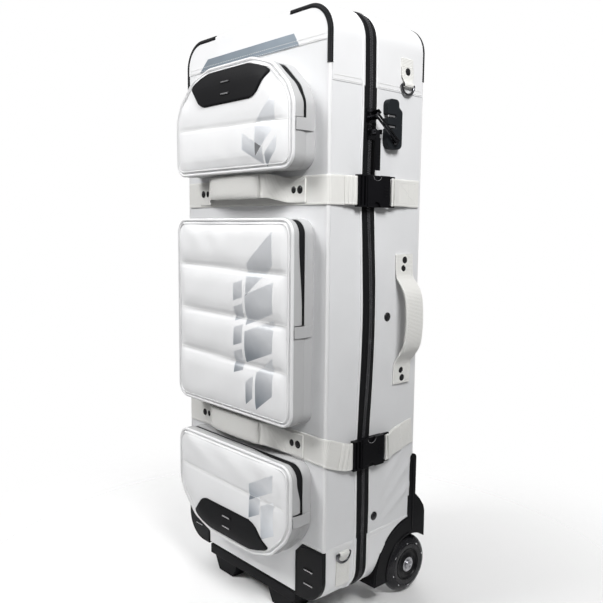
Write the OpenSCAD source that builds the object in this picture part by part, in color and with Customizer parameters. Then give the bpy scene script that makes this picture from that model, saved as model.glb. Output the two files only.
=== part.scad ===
// Upright wheeled skate bag: a clamshell shell on two wheels, with three front pockets,
// two buckled straps, a side grab handle and a telescopic pull handle.
// The bag stands on z = 0. Its front faces -Y, and the zipper side faces +X.

/* [Shell] */
// Width of the shell from side to side
body_w = 326; // [272:1:392]
// Depth of the shell from the front panel to the back panel
body_d = 184; // [160:1:222]
// Height of the shell
body_h = 800; // [740:1:960]
// Radius of the shell's four corners seen from the front
corner_r = 39; // [34:1:46]
// Thickness of the padded walls
wall = 4; // [3.2:0.1:4.8]
// Radius of the sewn edge piping
piping_r = 3; // [2.5:0.1:3.6]
// Height of the shell's underside above the ground
ground_gap = 38.5; // [36:0.5:42]
// Height of the top overlay on the sides
top_overlay_h = 98; // [90:1:117]
// Height of the bottom overlay on the sides
bottom_overlay_h = 82; // [70:1:98]
// Straight length of the rubber binding past each top corner
binding_leg = 37; // [20:1:44]

/* [Zipper] */
// Distance from the front panel to the zipper
zip_front = 61.5; // [52:0.5:64]
// Width of the zipper, both tapes together
zip_w = 21; // [18:0.5:25]
// Thickness of the zipper tapes
zip_t = 2.5; // [2:0.1:3]
// Height of the upper slider above the shell's underside
slider_high_z = 665; // [640:1:690]
// Height of the lower slider above the shell's underside
slider_low_z = 643; // [615:1:643]

/* [Pockets] */
// Width of the pockets
pocket_w = 272; // [228:1:300]
// Depth of the pockets
pocket_d = 36; // [30:1:43]
// Height of the upper and the lower pocket
small_pocket_h = 148; // [124:1:178]
// Distance from the shell's top to the upper pocket
pocket_top_gap = 59; // [50:1:70]
// Distance from the shell's underside to the lower pocket
pocket_bottom_gap = 50; // [46:1:60]
// Thickness of the pocket fabric
pocket_t = 2.5; // [2:0.1:3]
// Depth of the fixed gusset behind the pocket zipper
pocket_gusset_d = 15; // [12:0.5:18]

/* [Straps and buckles] */
// Width of the strap webbing
webbing_w = 38; // [32:1:40]
// Thickness of the strap webbing
webbing_t = 2; // [1.7:0.1:2]
// Length of a buckle socket
socket_l = 44; // [40:1:50]
// Outward standoff of the front grips
grip_rise = 28; // [24:1:34]
// Length of a front grip
grip_l = 172; // [150:1:190]
// Drop of the lower buckle below its strap, whose slack lets it hang
buckle_sag = 12; // [0:1:14]

/* [Side handle, rings and lock] */
// Length of the side handle
side_handle_l = 186; // [155:1:223]
// Width of the side handle
side_handle_w = 36; // [30:1:43]
// Outward standoff of the side handle
side_handle_rise = 27; // [23:1:32]
// Height of the side handle's middle above the shell's underside
side_handle_z = 388; // [380:1:400]
// Radius of the D-ring's bend
ring_r = 12.6; // [11:0.1:14]
// Radius of the D-ring's wire
ring_wire_r = 1.75; // [1.5:0.05:2]
// Height of the lock case
lock_h = 66; // [60:1:76]
// Width of the lock case
lock_w = 30; // [26:1:36]

/* [Wheels] */
// Radius of the wheels
wheel_r = 44; // [42:0.5:45]
// Width of the wheels
wheel_w = 22; // [20:0.5:24]
// Gap between the wheel and its arch
arch_gap = 6; // [5:0.5:8]
// Outer radius of the wheel housing about the axle
housing_r = 80; // [72:1:90]
// Width of the wheel housing
housing_w = 44; // [41:1:50]
// Radius of the axle
axle_r = 4; // [3.5:0.1:4.5]

/* [Pull handle] */
// Distance between the two tubes
tube_pitch = 112; // [95:1:130]
// Outer radius of the outer tubes
tube_r = 8; // [7.5:0.1:8.5]
// Wall of the outer tubes
tube_wall = 1.45; // [1.2:0.05:1.6]
// Depth of the recess for the grip
recess_d = 32; // [30:1:38]

/* [Hidden] */
$fn = 64;

// Clearances and small steps
eps = 0.01;
lay_gap = 0.2;
part_gap = 0.3;
run_gap = 0.05;
over = 1;

// Shell
half_w = body_w / 2;
shell_low = ground_gap;
shell_high = ground_gap + body_h;
seam_low = shell_low + bottom_overlay_h;
seam_high = shell_high - top_overlay_h;
piping_d = 2 * piping_r;
zip_back = zip_front + zip_w;
zip_mid = zip_front + zip_w / 2;
side_x = half_w + lay_gap;
hinge_inset = corner_r;

// The corner guards
guard_w = 56;
guard_h = 79;
guard_t = 2.2;
guard_chamfer = 14;
guard_slot = [18, 3];
guard_slot_z = [24, 44];

// The bottom rail and its feet
rail_w = body_w - 2 * guard_w - 2;
rail_h = 16;
rail_back = zip_front - 4;
foot_w = 60;
foot_x = 68;
foot_y = [3, 42];
foot_slope = 12;

// The pull handle
tube_bore = tube_r - tube_wall;
rod_r = tube_bore - run_gap;
board_t = 2;
bezel_wall = 2.5;
bezel_lip = 1.5;
grip_len = tube_pitch + 2 * rod_r + 7;
grip_d = 2 * rod_r + 3;
grip_h = 20;
grip_play = [0.8, 0.5];
scoop_d = 26;
bezel_back = body_d - piping_d - 2 * part_gap;
tube_y = bezel_back - bezel_wall - grip_play[1] - grip_d / 2;
bezel_front = tube_y - grip_d / 2 - scoop_d - bezel_wall;
bezel_half = grip_len / 2 + grip_play[0] + bezel_wall;
bezel_low = shell_high - recess_d;
tube_low = shell_low + 95;
rod_low = tube_low + 15;
button_size = [26, 9, 6];
button_travel = 3;

// Wheels: the axle is just inside the back panel's plane
axle_y = body_d - 3;
axle_z = wheel_r;
wheel_x = half_w - wheel_w / 2 - 2;
well_r = wheel_r + arch_gap;
housing_x = half_w - housing_w;
housing_t = 3;
housing_proud = 1.5;
housing_drop = 5;
hub_r = wheel_r * 0.56;
bearing_r = 11;
bearing_w = 7;
bore_r = axle_r + run_gap;
corner_rail_top = shell_low + 181;
corner_rail_y = [body_d - 8, body_d + 6];
corner_rail_w = 13;
// Outline of the fender behind the wheel, from the axle
fender = [[-8, 40], [-8, 112], [9, 112], [20, 101], [29, 89], [32, 80], [32, 30]];

// Pockets
tray_gap = 0.3;
// The curved end's corners, each as its distance in from the side and down from the end
small_bend = [[0, 64], [11, 42], [42, 13], [86, 0]];
pocket_round = 20;
upper_pocket_low = shell_high - pocket_top_gap - small_pocket_h;
lower_pocket_low = shell_low + pocket_bottom_gap;
upper_hinge_z = upper_pocket_low + 0.41 * small_pocket_h;
lower_hinge_z = lower_pocket_low + 0.54 * small_pocket_h;
panel_t = 2.4;
// The moulded panel's outline, right half, from the middle of the pocket's curved end
panel_half = [[0, -54], [56, -54], [68, -47], [79, -33], [92, -25], [66, -12], [40, -6],
    [0, -6]];
panel_slots = [-25, -41];
panel_slot = [22, 3];

// Straps
strap_gap = 2.5;
lower_strap_z = lower_pocket_low + small_pocket_h + strap_gap + webbing_w / 2;
upper_strap_z = upper_pocket_low - 8 - webbing_w / 2;
strap_zs = [lower_strap_z, upper_strap_z];
lower_buckle_z = lower_strap_z - buckle_sag;
buckle_zs = [lower_buckle_z, upper_strap_z];
middle_pocket_low = lower_strap_z + webbing_w / 2 + 13.5;
middle_pocket_h = upper_strap_z - webbing_w / 2 - 19 - middle_pocket_low;
middle_round = 20;
middle_hinge_z = middle_pocket_low + 0.49 * middle_pocket_h;
strap_edge = half_w - piping_d;
grip_w = 32;
grip_t = 8;
grip_lift = 7;
grip_pad_x = [grip_l / 2 + 1, grip_l / 2 + 38];
rivet_r = 6;
rivet_h = 2;
strap_rivet_x = [grip_l / 2 + 14, grip_l / 2 + 27];

// Buckles: y is counted from the socket's mouth, x outward from the side
mouth_y = zip_mid - 12;
buckle_w = webbing_w + 4;
buckle_low = webbing_t + 0.5;
buckle_t = 10;
skin_t = 2;
cavity_t = buckle_t - 2 * skin_t;
cavity_w = buckle_w - 4;
cavity_l = socket_l - 4;
window_y = [9, 27];
prong_t = cavity_t - 2;
arm_y = [0.3, 30];
arm_v = [buckle_w / 2 - 10, buckle_w / 2 - 6];
pad_y = [window_y[0] + 0.8, window_y[1] - 0.8];
pad_v = buckle_w / 2 - 0.2;
tongue_w = 8;
tongue_l = 30;
plug_l = 16;
frame_l = 14;
frame_bar = 3;

// Rings and their tabs
tab_t = 1.6;
sleeve_r = 3.7;
sleeve_l = 18;
tab_w = 27;
ring_x = side_x + sleeve_r;
upper_ring = [145 * body_d / 184, shell_high - 87];
upper_tab_h = 36;
lower_ring = [zip_front - 27, shell_low + 71];
lower_tab_h = 46;

// The lock and the zipper sliders
lock_y = zip_back + 31;
lock_z = shell_low + slider_high_z - 8;
lock_t = 10.5;
lock_round = 8;
lock_slot_l = 15;
lock_slot_w = 5;
lock_slot_z = [10, -4];
key_r = 5.5;
key_z = -22;
slider_l = 18;
slider_w = 15;
slider_t = 3.5;
bridge_w = 5;
pull_pin_r = 1.1;
upper_slider = [zip_mid, shell_low + slider_high_z];
lower_slider = [zip_mid + 2, shell_low + slider_low_z];
pull_l = 50;
pull_angle = 37;
pull_bar = 2.2;
pull_spread = 3.4;
pull_t = 2;
tail_l = 50;
tail_w = 8;
tail_t = 3.4;
// The pins stand high enough for the pulls to pass over the lock and the buckle
bridge_top = max(lock_t + 3, buckle_low + buckle_t + tail_t / 2 + 0.5);
pull_x = half_w + bridge_top;

// Side handle
side_handle_y = 147 * body_d / 184;
side_pad_l = 34;
side_grip_t = 7;
side_rivet_z = [side_handle_l / 2 - 8.5, side_handle_l / 2 - 20.5];
lone_rivets = [[113, 394], [97, 107]];

// The bounding box's middle, which becomes the origin
front_reach = max(pocket_d + panel_t, grip_rise + webbing_t + 2 * lay_gap);
back_reach = axle_y + wheel_r;
right_reach = side_x + side_handle_rise;
left_reach = half_w + housing_proud;
mid_x = (right_reach - left_reach) / 2;
mid_y = (back_reach - front_reach) / 2;

// ---------- helpers ----------

module place() translate([-mid_x, -mid_y, 0]) children();

// Extrudes an outline drawn in x and z along y
module along_y(from, to)
    translate([0, to, 0]) rotate([90, 0, 0]) linear_extrude(to - from) children();

// Extrudes an outline drawn in y and z along x
module along_x(from, to)
    translate([from, 0, 0]) rotate([90, 0, 90]) linear_extrude(to - from) children();

// A box between two corners
module span(low, high) translate(low) cube(high - low);

module round_rect(w, h, r) {
    translate([-w / 2, r]) square([w, h - 2 * r]);
    translate([-w / 2 + r, 0]) square([w - 2 * r, h]);
    for (x = [-w / 2 + r, w / 2 - r], z = [r, h - r]) translate([x, z]) circle(r);
}

module both_sides() {
    children();
    mirror([1, 0, 0]) children();
}

module shell_outline(inset)
    translate([0, shell_low + inset])
        round_rect(body_w - 2 * inset, body_h - 2 * inset, corner_r - inset);

module ring_wall(from, to, t)
    along_y(from, to) difference() {
        shell_outline(0);
        shell_outline(t);
    }

module side_band(from, to)
    span([-body_w, from, seam_low], [body_w, to, seam_high]);

module edge_tube_z(y, low, high, r)
    translate([half_w - piping_r, y, low]) cylinder(h = high - low, r = r);

module edge_tube_x(y, z, half, r)
    translate([-half, y, z]) rotate([0, 90, 0]) cylinder(h = 2 * half, r = r);

// A rounded top corner of edge tube with a straight leg on each side
module corner_tube(y, r) {
    bend = corner_r - piping_r;
    translate([half_w - corner_r, y, shell_high - corner_r]) rotate([90, 0, 0])
        rotate_extrude(angle = 90) translate([bend, 0]) circle(r);
    edge_tube_z(y, shell_high - corner_r - binding_leg, shell_high - corner_r, r);
    translate([half_w - corner_r - binding_leg, y, shell_high - piping_r])
        rotate([0, 90, 0]) cylinder(h = binding_leg, r = r);
}

module rivet()
    union() {
        cylinder(h = rivet_h / 2, r = rivet_r);
        translate([0, 0, rivet_h / 2 - eps])
            cylinder(h = rivet_h / 2, r1 = rivet_r, r2 = rivet_r * 0.7);
    }

// ---------- wheel housings ----------

module arch_area(grow)
    intersection() {
        translate([axle_y, axle_z]) circle(housing_r + grow);
        translate([0, shell_low - housing_drop - grow]) square([body_d + grow, body_h]);
    }

module corner_rail_area(grow) {
    rail_r = (corner_rail_y[1] - corner_rail_y[0]) / 2;
    low = axle_z + well_r;
    translate([corner_rail_y[0] - grow, low])
        square([2 * rail_r + 2 * grow, corner_rail_top - rail_r - low]);
    translate([corner_rail_y[0] + rail_r, corner_rail_top - rail_r]) circle(rail_r + grow);
}

// Space that the right housing takes out of the shell
module housing_bay(grow) {
    along_x(housing_x - grow, body_w) arch_area(grow);
    span([housing_x - grow, axle_y + fender[0][0] - grow, axle_z],
        [body_w, body_d + over, axle_z + fender[1][1] + grow]);
    along_x(half_w - corner_rail_w - grow, body_w) corner_rail_area(grow);
}

module housing_right() {
    out_x = half_w + housing_proud;
    boss_x = wheel_x - wheel_w / 2 - 0.6;
    difference() {
        union() {
            difference() {
                along_x(housing_x, out_x) {
                    arch_area(0);
                    translate([axle_y, axle_z]) polygon(fender);
                }
                along_x(housing_x + housing_t, out_x + over)
                    translate([axle_y, axle_z]) circle(well_r);
                along_x(housing_x - over, housing_x + housing_t + over)
                    difference() {
                        translate([axle_y, axle_z]) circle(well_r);
                        translate([0, 0]) square([body_d, body_h]);
                    }
            }
            along_x(half_w - corner_rail_w, out_x) corner_rail_area(0);
            along_x(housing_x, boss_x) translate([axle_y, axle_z]) circle(axle_r + 5);
        }
        along_x(housing_x - over, boss_x + over)
            translate([axle_y, axle_z]) circle(axle_r);
    }
}

module wheel_housings() color("#1b1b1d") both_sides() housing_right();

module wheel_axles()
    color("silver") both_sides() {
        head_x = wheel_x + wheel_w / 2 + 0.4;
        translate([housing_x, axle_y, axle_z]) rotate([0, 90, 0])
            cylinder(h = head_x - housing_x, r = axle_r);
        translate([head_x - eps, axle_y, axle_z]) rotate([0, 90, 0])
            cylinder(h = 1.8, r = axle_r + 3);
    }

module wheel_place(side)
    translate([side * wheel_x, axle_y, axle_z]) rotate([0, 90, 0]) children();

module tyre()
    rotate_extrude() difference() {
        union() {
            translate([hub_r, -wheel_w / 2]) square([wheel_r - wheel_w / 2 - hub_r, wheel_w]);
            translate([wheel_r - wheel_w / 2, 0]) circle(wheel_w / 2);
        }
        translate([0, -wheel_w]) square([hub_r, 2 * wheel_w]);
    }

module hub() {
    seat = wheel_w / 2 - bearing_w;
    difference() {
        rotate_extrude() {
            translate([bearing_r, -wheel_w / 2]) square([hub_r - bearing_r, wheel_w]);
            translate([bearing_r - 2, -seat]) square([3, 2 * seat]);
        }
        for (turn = [0:72:288]) rotate(turn) translate([(hub_r + bearing_r) / 2, 0, -wheel_w])
            cylinder(h = 2 * wheel_w, r = (hub_r - bearing_r) / 4);
    }
}

module bearings()
    for (low = [-wheel_w / 2, wheel_w / 2 - bearing_w]) translate([0, 0, low])
        difference() {
            cylinder(h = bearing_w, r = bearing_r);
            translate([0, 0, -over]) cylinder(h = bearing_w + 2 * over, r = bore_r);
        }

module tyre_right() color("#2a2a30") wheel_place(1) tyre();
module hub_right() color("#202022") wheel_place(1) hub();
module bearings_right() color("silver") wheel_place(1) bearings();
module tyre_left() color("#2a2a30") wheel_place(-1) tyre();
module hub_left() color("#202022") wheel_place(-1) hub();
module bearings_left() color("silver") wheel_place(-1) bearings();

// ---------- back half ----------

module both_bays() both_sides() housing_bay(part_gap);

module back_panel()
    color("#e6e7e9") difference() {
        along_y(body_d - wall, body_d) shell_outline(piping_d);
        both_bays();
    }

module back_board()
    color("#3a3a3d") difference() {
        along_y(body_d - wall - part_gap - board_t, body_d - wall - part_gap)
            shell_outline(piping_d + 2);
        both_sides() housing_bay(2);
    }

module base_ring()
    difference() {
        ring_wall(zip_back, body_d - piping_d, wall);
        both_bays();
    }

module base_side_panels()
    color("#e9eaec") intersection() {
        base_ring();
        side_band(0, body_d + over);
    }

module base_end_panels()
    color("#f2f3f4") difference() {
        base_ring();
        side_band(0, body_d + over);
        span([-bezel_half - part_gap, bezel_front - part_gap, bezel_low],
            [bezel_half + part_gap, bezel_back + part_gap, shell_high + over]);
    }

module back_piping()
    color("#f4f4f2") {
        y = body_d - piping_r;
        high = shell_high - corner_r - binding_leg - lay_gap;
        both_sides() edge_tube_z(y, corner_rail_top + part_gap, high, piping_r);
        edge_tube_x(y, shell_high - piping_r, half_w - corner_r - binding_leg - lay_gap,
            piping_r);
        edge_tube_x(y, shell_low + piping_r, housing_x - 2 * part_gap, piping_r);
    }

module back_corner_binding()
    color("#1b1b1d") both_sides() corner_tube(body_d - piping_r, piping_r);

module zipper_tape(from, to)
    difference() {
        ring_wall(from, to, zip_t);
        span([-body_w, 0, 0], [-half_w + hinge_inset, body_d, 2 * body_h]);
    }

module zipper_tape_base() color("#151516") zipper_tape(zip_mid + part_gap / 2, zip_back - eps);
module zipper_tape_lid() color("#151516") zipper_tape(zip_front + eps, zip_mid - part_gap / 2);

module hinge_strip()
    color("#e3e4e6") intersection() {
        ring_wall(zip_front + lay_gap, zip_back - lay_gap, zip_t - 0.5);
        span([-body_w, 0, 0], [-half_w + hinge_inset - lay_gap, body_d, 2 * body_h]);
    }

module lock_outline(w, h, r) translate([0, -h / 2]) round_rect(w, h, r);

module lock_case()
    color("#2b2d30") difference() {
        along_x(side_x, half_w + lock_t) translate([lock_y, lock_z]) difference() {
            lock_outline(lock_w, lock_h, lock_round);
            for (z = lock_slot_z) {
                translate([-lock_w / 2 - over, z - lock_slot_w / 2])
                    square([lock_slot_l + over, lock_slot_w]);
                translate([-lock_w / 2 + lock_slot_l, z]) circle(lock_slot_w / 2);
            }
        }
        translate([half_w + lock_t - 8, lock_y, lock_z + key_z]) rotate([0, 90, 0])
            cylinder(h = 8 + over, r = key_r + run_gap);
    }

module lock_cylinder()
    color("silver") difference() {
        translate([half_w + lock_t - 8 + lay_gap, lock_y, lock_z + key_z]) rotate([0, 90, 0])
            cylinder(h = 8 + lay_gap, r = key_r);
        span([half_w + lock_t - 4, lock_y - 0.7, lock_z + key_z - 3.2],
            [half_w + lock_t + over, lock_y + 0.7, lock_z + key_z + 3.2]);
    }

// A webbing tab with a sewn sleeve for the ring's bar; up is +1 or -1
module ring_tab(at, h, up) {
    low = up > 0 ? at[1] : at[1] - h;
    difference() {
        union() {
            span([side_x, at[0] - tab_w / 2, low], [side_x + tab_t, at[0] + tab_w / 2, low + h]);
            translate([ring_x, at[0] - sleeve_l / 2, at[1]]) rotate([-90, 0, 0])
                cylinder(h = sleeve_l, r = sleeve_r);
        }
        for (end = [-1, 1]) translate([0, end * (sleeve_l + tab_w) / 2, 0])
            span([side_x - over, at[0] - tab_w / 2, at[1] - sleeve_r],
                [ring_x + sleeve_r, at[0] + tab_w / 2, at[1] + sleeve_r]);
        translate([ring_x, at[0] - tab_w, at[1]]) rotate([-90, 0, 0])
            cylinder(h = 2 * tab_w, r = ring_wire_r + run_gap);
    }
}

module d_ring(at)
    translate([ring_x, at[0], at[1]]) {
        rotate([-90, 0, 0]) translate([0, 0, -ring_r]) cylinder(h = 2 * ring_r, r = ring_wire_r);
        rotate([0, 90, 0]) rotate([0, 0, -90]) rotate_extrude(angle = 180)
            translate([ring_r, 0]) circle(ring_wire_r);
    }

module ring_tab_upper() color("#f4f4f2") ring_tab(upper_ring, upper_tab_h, 1);
module ring_tab_lower() color("#f4f4f2") ring_tab(lower_ring, lower_tab_h, -1);
module ring_upper() color("silver") d_ring(upper_ring);
module ring_lower() color("silver") d_ring(lower_ring);

// Webbing flat on the side between two depths, with its middle at a height for each
module side_webbing(y, z)
    along_x(side_x, side_x + webbing_t) polygon([[y[0], z[0] - webbing_w / 2],
        [y[1], z[1] - webbing_w / 2], [y[1], z[1] + webbing_w / 2], [y[0], z[0] + webbing_w / 2]]);

module back_straps()
    color("#f7f7f4") for (i = [0, 1])
        side_webbing([mouth_y + socket_l + 4, body_d - piping_d - 2], [buckle_zs[i], strap_zs[i]]);

// Half a rounded bow with feet flat on the surface, drawn in length and height
module bow(length, rise, t)
    intersection() {
        difference() {
            translate([0, -rise]) round_rect(length, 2 * rise, rise - eps);
            translate([0, t - rise]) round_rect(length - 2 * t, 2 * (rise - t), rise - t - eps);
        }
        translate([-length, 0]) square([2 * length, 2 * rise]);
    }

module side_handle()
    color("#f7f7f4") translate([side_x, side_handle_y, shell_low + side_handle_z]) {
        bow_l = side_handle_l - 2 * side_pad_l + 14;
        for (end = [-1, 1]) translate([0, 0, end * (side_handle_l - side_pad_l) / 2])
            span([0, -side_handle_w / 2, -side_pad_l / 2],
                [webbing_t, side_handle_w / 2, side_pad_l / 2]);
        along_y(-side_handle_w / 2, side_handle_w / 2) mirror([1, 0]) rotate(90)
            bow(bow_l, side_handle_rise, side_grip_t);
    }

module base_rivets()
    color("#151516") {
        for (end = [-1, 1], z = side_rivet_z)
            translate([side_x + webbing_t, side_handle_y + (z - side_rivet_z[0]) / 4,
                shell_low + side_handle_z + end * z]) rotate([0, 90, 0]) rivet();
        for (at = lone_rivets)
            translate([side_x, at[0] * body_d / 184, shell_low + at[1]]) rotate([0, 90, 0])
                rivet();
        translate([side_x + tab_t, upper_ring[0], upper_ring[1] + upper_tab_h * 0.5])
            rotate([0, 90, 0]) rivet();
    }

// ---------- pull handle ----------

module handle_bezel()
    color("#1b1b1d") difference() {
        span([-bezel_half, bezel_front, bezel_low],
            [bezel_half, bezel_back, shell_high + bezel_lip]);
        span([-bezel_half + bezel_wall, bezel_front + bezel_wall, bezel_low + bezel_wall],
            [bezel_half - bezel_wall, bezel_back - bezel_wall, shell_high + 2 * bezel_lip]);
        for (x = [-tube_pitch / 2, tube_pitch / 2]) translate([x, tube_y, bezel_low - over])
            cylinder(h = bezel_wall + 2 * over, r = tube_bore);
    }

module handle_outer_tubes()
    color("silver") for (x = [-tube_pitch / 2, tube_pitch / 2]) translate([x, tube_y, tube_low])
        difference() {
            cylinder(h = bezel_low - tube_low, r = tube_r);
            translate([0, 0, -over]) cylinder(h = body_h, r = tube_bore);
        }

grip_low = shell_high - grip_h;
module handle_inner_tubes()
    color("silver") for (x = [-tube_pitch / 2, tube_pitch / 2]) translate([x, tube_y, rod_low])
        cylinder(h = grip_low - rod_low, r = rod_r);

module handle_grip()
    color("#1b1b1d") difference() {
        translate([0, tube_y, grip_low]) linear_extrude(grip_h)
            translate([0, -grip_d / 2]) round_rect(grip_len, grip_d, grip_d / 2 - eps);
        translate([0, tube_y, shell_high])
            cube([button_size[0] + 0.6, button_size[1] + 0.6,
                2 * (button_size[2] + button_travel)], center = true);
    }

module handle_button()
    color("#6a6c70") translate([-button_size[0] / 2, tube_y - button_size[1] / 2,
        shell_high - button_size[2]]) cube([button_size[0], button_size[1], button_size[2] + 1]);

// ---------- zipper sliders ----------

module slider_body(at)
    span([side_x, at[0] - slider_w / 2, at[1] - slider_l / 2],
        [side_x + slider_t, at[0] + slider_w / 2, at[1] + slider_l / 2]);

// The bridge is two ears with the pull's pin between them
module slider_bridge(at)
    difference() {
        for (end = [-1, 1]) translate([0, end * bridge_w, 0])
            span([side_x + slider_t - eps, at[0] - 1.2, at[1] - 3],
                [pull_x + 2.2, at[0] + 1.2, at[1] + 3]);
        translate([pull_x, at[0] - 2 * bridge_w, at[1]]) rotate([-90, 0, 0])
            cylinder(h = 4 * bridge_w, r = pull_pin_r + run_gap);
    }

module turned_bridge(at, turn)
    translate([0, at[0], at[1]]) rotate([turn, 0, 0]) translate([0, -at[0], -at[1]])
        slider_bridge(at);

module zipper_slider_upper()
    color("#3c3d40") union() {
        slider_body(upper_slider);
        turned_bridge(upper_slider, 90 - pull_angle);
    }

module zipper_slider_lower()
    color("#3c3d40") union() {
        slider_body(lower_slider);
        slider_bridge(lower_slider);
    }

// The two-bar pull lies across the lock, towards its key
module zipper_pull_upper()
    color("silver") translate([pull_x, upper_slider[0], upper_slider[1]])
        rotate([90 - pull_angle, 0, 0]) {
            translate([0, -bridge_w - 2, 0]) rotate([-90, 0, 0])
                cylinder(h = 2 * bridge_w + 4, r = pull_pin_r);
            for (end = [-1, 1]) translate([0, end * (pull_spread - 1.2), 0])
                span([-pull_t / 2, -pull_bar / 2, -pull_l], [pull_t / 2, pull_bar / 2, 0]);
            span([-pull_t / 2, -pull_spread, -pull_l - 4], [pull_t / 2, pull_spread, -pull_l]);
        }

module zipper_pull_lower()
    color("#1b1b1d") translate([pull_x, lower_slider[0], lower_slider[1]]) {
        translate([0, -bridge_w - 2, 0]) rotate([-90, 0, 0])
            cylinder(h = 2 * bridge_w + 4, r = pull_pin_r);
        span([-pull_t / 2, -pull_spread + 0.2, -12], [pull_t / 2, pull_spread - 0.2, 1.6]);
        span([-tail_t / 2, -tail_w / 2, -tail_l], [tail_t / 2, tail_w / 2, -8]);
    }

// ---------- front half ----------

module guard_area(grow)
    intersection() {
        shell_outline(0);
        translate([half_w - guard_w - grow, shell_low]) difference() {
            square([guard_w + grow, guard_h + grow]);
            translate([0, guard_h + grow]) rotate(45)
                square([3 * guard_chamfer, 1.42 * guard_chamfer], center = true);
        }
    }

module guard_bay(grow) along_y(-over, piping_d + grow) guard_area(grow);

module front_panel()
    color("#eceded") difference() {
        along_y(lay_gap, wall) shell_outline(piping_d);
        both_sides() guard_bay(part_gap);
    }

module lid_ring()
    difference() {
        ring_wall(piping_d, zip_front, wall);
        both_sides() guard_bay(0);
    }

module lid_side_panels()
    color("#e9eaec") intersection() {
        lid_ring();
        side_band(0, body_d);
    }

module lid_end_panels()
    color("#f2f3f4") difference() {
        lid_ring();
        side_band(0, body_d);
    }

module front_piping()
    color("#f4f4f2") {
        high = shell_high - corner_r - binding_leg - lay_gap;
        both_sides() edge_tube_z(piping_r, shell_low + guard_h + part_gap, high, piping_r);
        edge_tube_x(piping_r, shell_high - piping_r,
            half_w - corner_r - binding_leg - lay_gap, piping_r);
    }

module front_corner_binding()
    color("#1b1b1d") both_sides() corner_tube(piping_r, piping_r);

module corner_guards()
    color("#1b1b1d") both_sides() difference() {
        along_y(-guard_t, piping_d - eps) guard_area(0);
        for (z = guard_slot_z)
            span([half_w - guard_w / 2 - guard_slot[0] / 2, -guard_t - over, shell_low + z],
                [half_w - guard_w / 2 + guard_slot[0] / 2, -guard_t + 1.2,
                    shell_low + z + guard_slot[1]]);
    }

module foot()
    along_y(foot_y[0], foot_y[1])
        polygon([[-foot_w / 2, shell_low - rail_h + eps], [-foot_w / 2 + foot_slope, 0],
            [foot_w / 2 - foot_slope, 0], [foot_w / 2, shell_low - rail_h + eps]]);

module bottom_rail()
    color("#1b1b1d") {
        span([-rail_w / 2, 0, shell_low - rail_h], [rail_w / 2, rail_back, shell_low - lay_gap]);
        for (x = [-foot_x, foot_x]) translate([x, 0, 0]) foot();
    }

module front_straps()
    color("#f7f7f4") for (i = [0, 1]) {
        z = strap_zs[i];
        span([-strap_edge, -lay_gap - webbing_t, z - webbing_w / 2],
            [side_x + webbing_t, -lay_gap, z + webbing_w / 2]);
        side_webbing([-lay_gap - webbing_t, mouth_y - 5], [z, buckle_zs[i]]);
    }

module front_grips()
    color("#f7f7f4") for (z = strap_zs) {
        base_y = -2 * lay_gap - webbing_t;
        translate([0, base_y, z + grip_lift - grip_w / 2]) linear_extrude(grip_w)
            mirror([0, 1]) bow(grip_l, grip_rise, grip_t);
        both_sides() span([grip_pad_x[0] - grip_t, base_y - webbing_t, z - webbing_w / 2 + 3],
            [grip_pad_x[1], base_y, z + webbing_w / 2 - 3]);
    }

module lid_rivets()
    color("#151516") both_sides() for (z = strap_zs, x = strap_rivet_x)
        translate([x, -2 * lay_gap - 2 * webbing_t, z + 1]) rotate([90, 0, 0]) rivet();

// ---------- buckles ----------

module buckle_layer(low, high)
    translate([half_w + low, 0, 0]) rotate([90, 0, 90]) linear_extrude(high - low) children();

module buckle_plate() translate([0, -buckle_w / 2]) square([socket_l, buckle_w]);

module socket(z)
    translate([0, mouth_y, z]) {
        buckle_layer(buckle_low, buckle_low + skin_t + eps) buckle_plate();
        buckle_layer(buckle_low + skin_t, buckle_low + skin_t + cavity_t) difference() {
            buckle_plate();
            translate([-over, -cavity_w / 2]) square([cavity_l + over, cavity_w]);
            translate([window_y[0], -buckle_w])
                square([window_y[1] - window_y[0], 2 * buckle_w]);
        }
        buckle_layer(buckle_low + buckle_t - skin_t - eps, buckle_low + buckle_t) difference() {
            buckle_plate();
            for (end = [-1, 1]) translate([(window_y[0] + window_y[1]) / 2, end * buckle_w / 2])
                circle(7);
        }
        buckle_layer(buckle_low + skin_t, buckle_low + skin_t + 4) difference() {
            translate([socket_l - eps, -buckle_w / 2]) square([frame_l, buckle_w]);
            translate([socket_l - over, -buckle_w / 2 + frame_bar])
                square([frame_l - frame_bar + over, buckle_w - 2 * frame_bar]);
        }
    }

module buckle_sockets() color("#141415") for (z = buckle_zs) socket(z);

prong_low = buckle_low + skin_t + 1;

module plug(z)
    translate([0, mouth_y, z]) {
        buckle_layer(buckle_low + 1, buckle_low + buckle_t - 1) difference() {
            translate([-plug_l, -buckle_w / 2]) square([plug_l - 0.4, buckle_w]);
            for (y = [-plug_l + 3, -plug_l + 9.5]) translate([y, -webbing_w / 2])
                square([3.5, webbing_w]);
        }
        buckle_layer(prong_low, prong_low + prong_t)
            translate([-0.5, -tongue_w / 2]) square([tongue_l, tongue_w]);
    }

module buckle_plugs() color("#141415") for (z = buckle_zs) plug(z);

module buckle_arm(z, end)
    color("#141415") translate([0, mouth_y, z]) buckle_layer(prong_low, prong_low + prong_t)
        mirror([0, end < 0 ? 1 : 0]) {
            translate([arm_y[0], arm_v[0]]) square([arm_y[1] - arm_y[0], arm_v[1] - arm_v[0]]);
            translate([pad_y[0], arm_v[1] - eps])
                square([pad_y[1] - pad_y[0], pad_v - arm_v[1]]);
        }

// ---------- pockets ----------

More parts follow.
